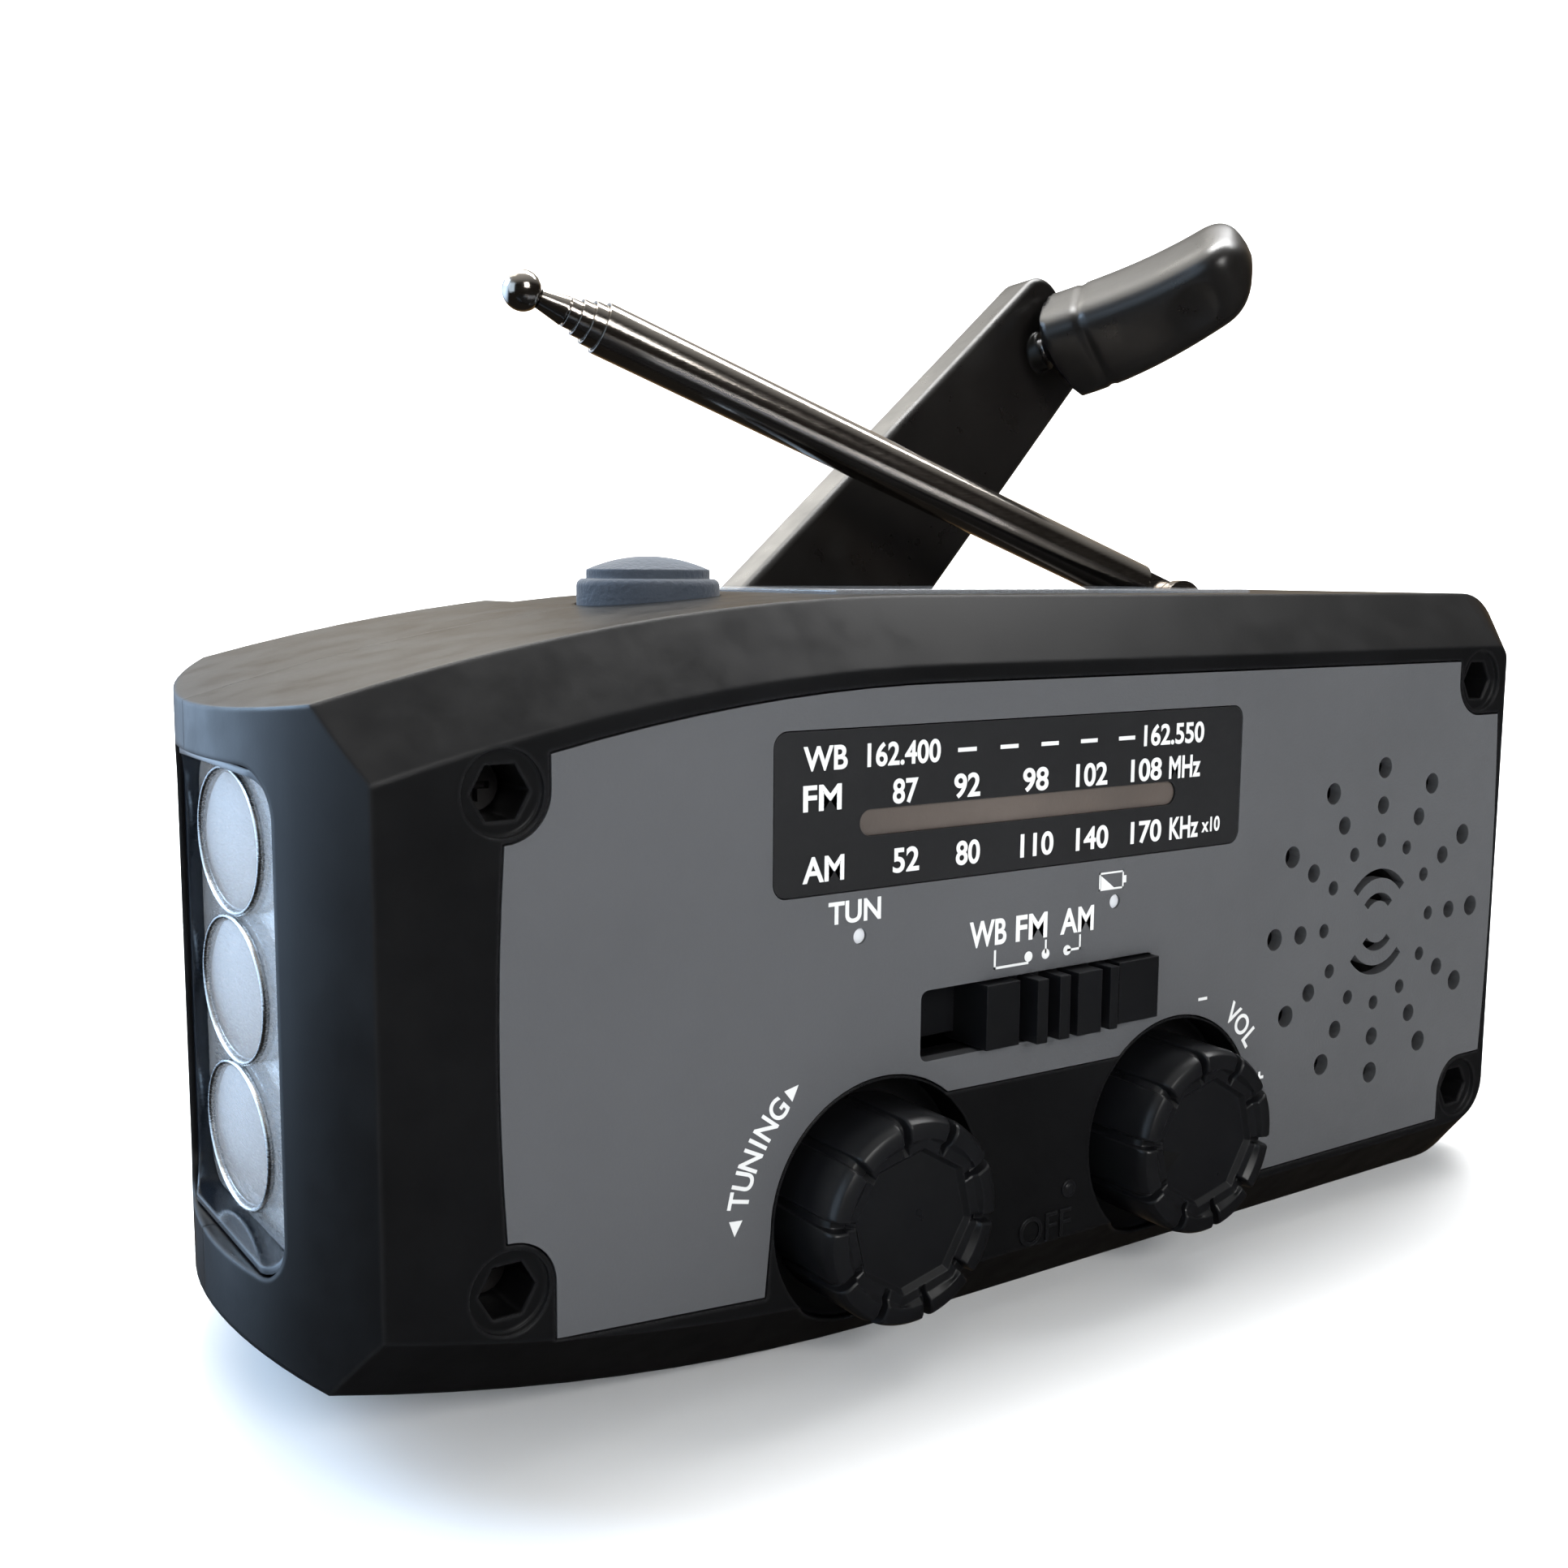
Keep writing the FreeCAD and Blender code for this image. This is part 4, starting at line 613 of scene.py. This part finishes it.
# ------------------------------------------------------------------ printed and cut lettering
PRINT_BOLD = 0.022
ARC_BOLD = 0.018
GLYPH_EXTRUDE = 0.004
PRINT_RELIEF = 0.004        # scales that thickness down to a printed one
OFF_RELIEF = 0.04
PRINT_LIFT = 0.01 * MM


def glyphs(text, bold):
    """A word as a mesh, its lowest corner at the origin, with its width and height."""
    curve = bpy.data.curves.new("word", "FONT")
    curve.body = text
    curve.offset = bold
    curve.extrude = GLYPH_EXTRUDE
    obj = bpy.data.objects.new("word", curve)
    bpy.context.scene.collection.objects.link(obj)
    bpy.context.view_layer.update()
    mesh = bpy.data.meshes.new_from_object(obj.evaluated_get(bpy.context.evaluated_depsgraph_get()))
    bpy.data.objects.remove(obj)
    xs = [v.co.x for v in mesh.vertices]
    ys = [v.co.y for v in mesh.vertices]
    mesh.transform(Matrix.Translation((-min(xs), -min(ys), 0)))
    return mesh, max(xs) - min(xs), max(ys) - min(ys)


def collect(shape, mesh, matrix):
    """Moves a mesh by a matrix into the shape, and drops it."""
    mesh.transform(matrix)
    shape.from_mesh(mesh)
    bpy.data.meshes.remove(mesh)


def facing(x, y, z, angle=0.0):
    """Local X to the right and Y up on a face that looks towards -Y, turned by an angle."""
    return (Matrix.Translation((x, y, z)) @ Matrix.Rotation(math.radians(90), 4, "X")
            @ Matrix.Rotation(math.radians(angle), 4, "Z"))


def word_in_box(shape, text, x0, x1, z0, z1, y, bold=PRINT_BOLD, relief=PRINT_RELIEF):
    """A word stretched to fill a box given in millimetres."""
    mesh, width, height = glyphs(text, bold)
    scale = Matrix.Diagonal(((x1 - x0) * MM / width, (z1 - z0) * MM / height, relief, 1))
    collect(shape, mesh, facing(x0 * MM, y, z0 * MM) @ scale)


def word_on_arc(shape, text, centre, radius, angles, height, y):
    """Letters round a knob, their tops outward."""
    for letter, angle in zip(text, angles):
        mesh, width, tall = glyphs(letter, ARC_BOLD)
        size = height * MM / tall
        middle = Matrix.Translation((-width / 2, -tall / 2, 0))
        turn = math.radians(angle)
        x = centre[0] + radius * MM * math.cos(turn)
        z = centre[1] + radius * MM * math.sin(turn)
        scale = Matrix.Diagonal((size * 0.9, size, PRINT_RELIEF, 1))
        collect(shape, mesh, facing(x, y, z, angle - 90) @ scale @ middle)


def patch(shape, corners, y, thick=0.02):
    """A thin flat mark with the given corners in millimetres."""
    front = [shape.verts.new((x * MM, y - thick * MM, z * MM)) for x, z in corners]
    rear = [shape.verts.new((x * MM, y, z * MM)) for x, z in corners]
    shape.faces.new(front)
    shape.faces.new(list(reversed(rear)))
    for k in range(len(corners)):
        n = (k + 1) % len(corners)
        shape.faces.new((front[k], rear[k], rear[n], front[n]))


def on_circle(x, z, radius, degrees):
    turn = math.radians(degrees)
    return x + radius * math.cos(turn), z + radius * math.sin(turn)


def spot(x, z, radius, count=24):
    """The outline of a round dot."""
    turns = [2 * math.pi * k / count for k in range(count)]
    return [(x + radius * math.cos(a), z + radius * math.sin(a)) for a in turns]


def bar(x0, x1, z0, z1):
    """The outline of an upright rectangle."""
    return [(x0, z0), (x1, z0), (x1, z1), (x0, z1)]


def finish_print(name, shape, material):
    """The gathered marks as one piece on the case."""
    mesh = bpy.data.meshes.new(name)
    bmesh.ops.recalc_face_normals(shape, faces=shape.faces)
    shape.to_mesh(mesh)
    shape.free()
    return piece(name, mesh, material, "casing")


# The places of the marks below are millimetres on the front, x to the right and z up.
DIAL_ROWS = (
    ((45.6, 47.4), (("WB", -25.7, -21.8), ("162.400", -20.0, -13.1), ("162.550", 8.6, 15.8))),
    ((42.7, 44.6), (("FM", -25.7, -22.3), ("87", -17.6, -15.2), ("92", -11.7, -9.1),
                    ("98", -4.7, -2.0), ("102", 1.0, 4.5), ("108", 7.2, 10.8),
                    ("MHz", 11.7, 15.5))),
    ((37.5, 39.4), (("AM", -25.7, -22.0), ("52", -17.5, -15.0), ("80", -11.4, -9.0),
                    ("110", -4.8, -1.3), ("140", 1.2, 4.8), ("170", 7.4, 11.0),
                    ("KHz", 12.0, 15.5))),
    ((37.8, 39.1), (("x10", 15.95, 18.2),)),
)
DASHES = 5
DASH_START, DASH_PITCH, DASH_LONG = -11.4, 4.27, 1.85
DASH_LOW, DASH_HIGH = 46.25, 46.57
BANDS = (("WB", -9.9, -6.1), ("FM", -5.1, -1.75), ("AM", -0.3, 3.4))
BAND_DOTS = (-3.7, -1.86, 0.5)
# The lines that lead from the slider's dots to the band names.
LEADERS = (
    bar(-7.35, -3.7, 28.85, 29.05), bar(-7.35, -7.15, 28.85, 30.4), bar(-1.95, -1.77, 29.5, 30.6),
    bar(0.5, 2.0, 29.35, 29.55), bar(1.82, 2.0, 29.35, 30.6),
)
# A battery: four sides, its end and the part that is full.
BATTERY = (
    bar(3.9, 6.7, 35.3, 35.45), bar(3.9, 6.7, 33.95, 34.1), bar(3.9, 4.05, 33.95, 35.45),
    bar(6.55, 6.7, 33.95, 35.45), bar(6.7, 7.0, 34.4, 35.0),
    [(4.1, 34.1), (5.6, 34.1), (4.1, 35.2)],
)
TUNING_RADIUS = 13.2
TUNING_LETTERS = (167, 160.6, 154, 148.4, 143, 136)
VOLUME_RADIUS = 11.8
VOLUME_LETTERS = (51, 43, 34.5)
SIGN_RADIUS = 11.6
SIGN_HALF, SIGN_THIN = 0.55, 0.13
# The raised dot and ring beside the off position.
OFF_DOT, OFF_RING, OFF_CORE = (1.4, 9.2), 0.75, 0.4


def dial_print():
    """The three scales, and the dashes between the two weather frequencies."""
    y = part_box("dial_window")[0][1] - PRINT_LIFT
    shape = bmesh.new()
    for (z0, z1), words in DIAL_ROWS:
        for text, x0, x1 in words:
            word_in_box(shape, text, x0, x1, z0, z1, y)
    for number in range(DASHES):
        x = DASH_START + DASH_PITCH * number
        patch(shape, bar(x, x + DASH_LONG, DASH_LOW, DASH_HIGH), y)
    finish_print("dial_print", shape, INK)


def arrow(shape, x, z, degrees, y):
    """A small triangle that points along an angle."""
    turn = math.radians(degrees)
    patch(shape, [
        (x + reach * math.cos(turn + off), z + reach * math.sin(turn + off))
        for reach, off in ((0.75, 0.0), (0.7, 2.2), (0.7, -2.2))], y)


def panel_print(y):
    """Words, band names, leaders, the battery, and the legends round both knobs."""
    shape = bmesh.new()
    word_in_box(shape, "TUN", -23.4, -18.6, 34.2, 35.9, y)
    for text, x0, x1 in BANDS:
        word_in_box(shape, text, x0, x1, 30.8, 32.9, y)
    for x in BAND_DOTS:
        patch(shape, spot(x, 29.45, 0.42), y)
    for mark in LEADERS + BATTERY:
        patch(shape, mark, y)

    tuning = front_centre("tuning_knob")
    word_on_arc(shape, "TUNING", tuning, TUNING_RADIUS, TUNING_LETTERS, 1.75, y)
    for angle, heading in ((175, 265), (129, 39)):
        x, z = on_circle(tuning[0] / MM, tuning[1] / MM, TUNING_RADIUS, angle)
        arrow(shape, x, z, heading, y)

    volume = front_centre("volume_knob")
    word_on_arc(shape, "VOL", volume, VOLUME_RADIUS, VOLUME_LETTERS, 1.9, y)
    for angle, plus in ((73, False), (13.4, True)):
        x, z = on_circle(volume[0] / MM, volume[1] / MM, SIGN_RADIUS, angle)
        patch(shape, bar(x - SIGN_HALF, x + SIGN_HALF, z - SIGN_THIN, z + SIGN_THIN), y)
        if plus:
            upright = bar(x - SIGN_THIN, x + SIGN_THIN, z - SIGN_HALF, z + SIGN_HALF)
            patch(shape, upright, y, 0.024)
    finish_print("panel_print", shape, INK)


def off_marking(otherwise):
    """The raised word and dot at the volume knob's off position."""
    y = front_of("front_shell", -1 * MM, 6.5 * MM, otherwise) - 0.015 * MM
    shape = bmesh.new()
    word_in_box(shape, "OFF", -4.0, 1.7, 5.2, 7.6, y, bold=0.0, relief=OFF_RELIEF)
    patch(shape, spot(*OFF_DOT, OFF_RING), y, 0.16)
    patch(shape, spot(*OFF_DOT, OFF_CORE), y, 0.3)
    finish_print("off_marking", shape, KNOB)


def lettering():
    panel_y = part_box("front_panel")[0][1] - PRINT_LIFT
    dial_print()
    panel_print(panel_y)
    off_marking(panel_y)


lettering()


# ------------------------------------------------------------------ floor, light, camera
def plain(name, colour, rough):
    """A matte paint with a very faint unevenness."""
    s = Shader(name)
    s.link(s.mix(s.spread(s.noise(3, 2), 0, 1), tuple(c * 0.985 for c in colour), colour),
           s.bsdf.inputs["Base Color"])
    s.bsdf.inputs["Roughness"].default_value = rough
    return s.mat


FLOOR_REACH = 1.3
FLOOR_CURVE = 0.5
FLOOR_ARC_STEPS = 16
FLOOR_STEPS = 96
WALL_TOP = 1.0


def backdrop():
    """A pale round floor that sweeps up on every side, left out of reflections."""
    profile = [(0.0, 0.0)]
    for k in range(FLOOR_ARC_STEPS + 1):
        turn = math.radians(90 * k / FLOOR_ARC_STEPS)
        reach = FLOOR_REACH + FLOOR_CURVE * math.sin(turn)
        profile.append((reach, FLOOR_CURVE * (1 - math.cos(turn))))
    profile.append((FLOOR_REACH + FLOOR_CURVE, WALL_TOP))
    points = []
    for reach, z in profile:
        for k in range(FLOOR_STEPS):
            turn = 2 * math.pi * k / FLOOR_STEPS
            points.append((reach * math.cos(turn), reach * math.sin(turn), z))
    mesh = bpy.data.meshes.new("floor")
    mesh.from_pydata(points, [], band_faces(len(profile), FLOOR_STEPS))
    mesh.materials.append(plain("floor_pale", (0.92, 0.92, 0.92), 0.9))
    for polygon in mesh.polygons:
        polygon.use_smooth = True
    obj = bpy.data.objects.new("floor", mesh)
    bpy.context.scene.collection.objects.link(obj)
    obj.visible_glossy = False


def softbox(name, place, target, wide, tall, power, colour):
    """A rectangular light at a place, turned to a target."""
    data = bpy.data.lights.new(name, "AREA")
    data.shape = "RECTANGLE"
    data.size = wide
    data.size_y = tall
    data.energy = power
    data.color = colour
    obj = bpy.data.objects.new(name, data)
    bpy.context.scene.collection.objects.link(obj)
    obj.location = place
    obj.rotation_euler = (Vector(target) - Vector(place)).to_track_quat("-Z", "Y").to_euler()


backdrop()
AIM = (0.0, 0.0, 0.035)
softbox("window_left", (-0.54, 0.62, 0.52), AIM, 0.55, 0.34, 9.0, (0.50, 0.72, 1.0))
softbox("window_side", (-0.80, 0.02, 0.22), AIM, 0.5, 0.6, 1.6, (0.62, 0.80, 1.0))
softbox("overhead", (0.0, 0.42, 0.85), AIM, 0.9, 0.5, 3.5, (1.0, 0.96, 0.88))
softbox("back_high", (0.06, 0.78, 0.62), (0.06, 0.04, 0.09), 0.5, 0.4, 2.6, (1.0, 0.97, 0.90))
softbox("front_fill", (-0.02, -0.96, 0.50), AIM, 0.4, 0.4, 6.2, (1.0, 0.99, 0.97))
softbox("backdrop_wash", (0.6, 0.35, 1.3), (0.85, 1.25, 0.1), 1.2, 0.8, 52.0, (1.0, 1.0, 1.0))

# Each glow in the room: its direction, the cosines where it begins and is full, and its colour.
ROOM_DARK = (0.020, 0.018, 0.016)
ROOM_GLOWS = (
    ((0.56, 0.82, 0.20), 0.55, 0.97, (0.30, 0.20, 0.10)),
    ((-0.56, 0.82, 0.30), 0.72, 0.98, (2.30, 3.15, 4.30)),
    ((0.0, 0.30, 0.95), 0.30, 0.90, (0.60, 0.60, 0.58)),
)


def studio_world():
    """A dim room with a warm wall beyond the radio, a cool one on the left and a pale ceiling."""
    result = bpy.data.worlds.new("studio")
    result.use_nodes = True
    tree = result.node_tree
    coord = tree.nodes.new("ShaderNodeTexCoord")
    colour = None
    for direction, start, full, tone in ROOM_GLOWS:
        dot = tree.nodes.new("ShaderNodeVectorMath")
        dot.operation = "DOT_PRODUCT"
        dot.inputs[1].default_value = Vector(direction).normalized()
        tree.links.new(coord.outputs["Generated"], dot.inputs[0])
        reach = tree.nodes.new("ShaderNodeMapRange")
        reach.inputs["From Min"].default_value = start
        reach.inputs["From Max"].default_value = full
        tree.links.new(dot.outputs["Value"], reach.inputs["Value"])
        mix = tree.nodes.new("ShaderNodeMix")
        mix.data_type = "RGBA"
        tree.links.new(reach.outputs[0], mix.inputs["Factor"])
        mix.inputs[6].default_value = (*ROOM_DARK, 1)
        if colour is not None:
            tree.links.new(colour, mix.inputs[6])
        mix.inputs[7].default_value = (*tone, 1)
        colour = mix.outputs[2]
    tree.links.new(colour, tree.nodes["Background"].inputs[0])
    return result


bpy.context.scene.world = studio_world()
bpy.context.scene.view_settings.view_transform = "Standard"

CAMERA_AT = (-0.0935, -0.1192, 0.0599)
CAMERA_LOOK = (0.5598, 0.8188, -0.1272)
CAMERA_RIGHT = (0.8260, -0.5636, 0.0071)
CAMERA_LENS = 38.43
SENSOR_WIDTH = 36.0


def place_camera():
    """A close camera at the torch end, a little above the radio."""
    data = bpy.data.cameras.new("camera")
    data.sensor_width = SENSOR_WIDTH
    data.lens = CAMERA_LENS
    data.clip_start = 0.005
    eye = bpy.data.objects.new("camera", data)
    bpy.context.scene.collection.objects.link(eye)
    look = Vector(CAMERA_LOOK).normalized()
    right = Vector(CAMERA_RIGHT)
    right = (right - look * right.dot(look)).normalized()
    up = right.cross(look)
    turn = Matrix((right, up, -look)).transposed().to_4x4()
    eye.matrix_world = Matrix.Translation(CAMERA_AT) @ turn
    bpy.context.scene.camera = eye


place_camera()
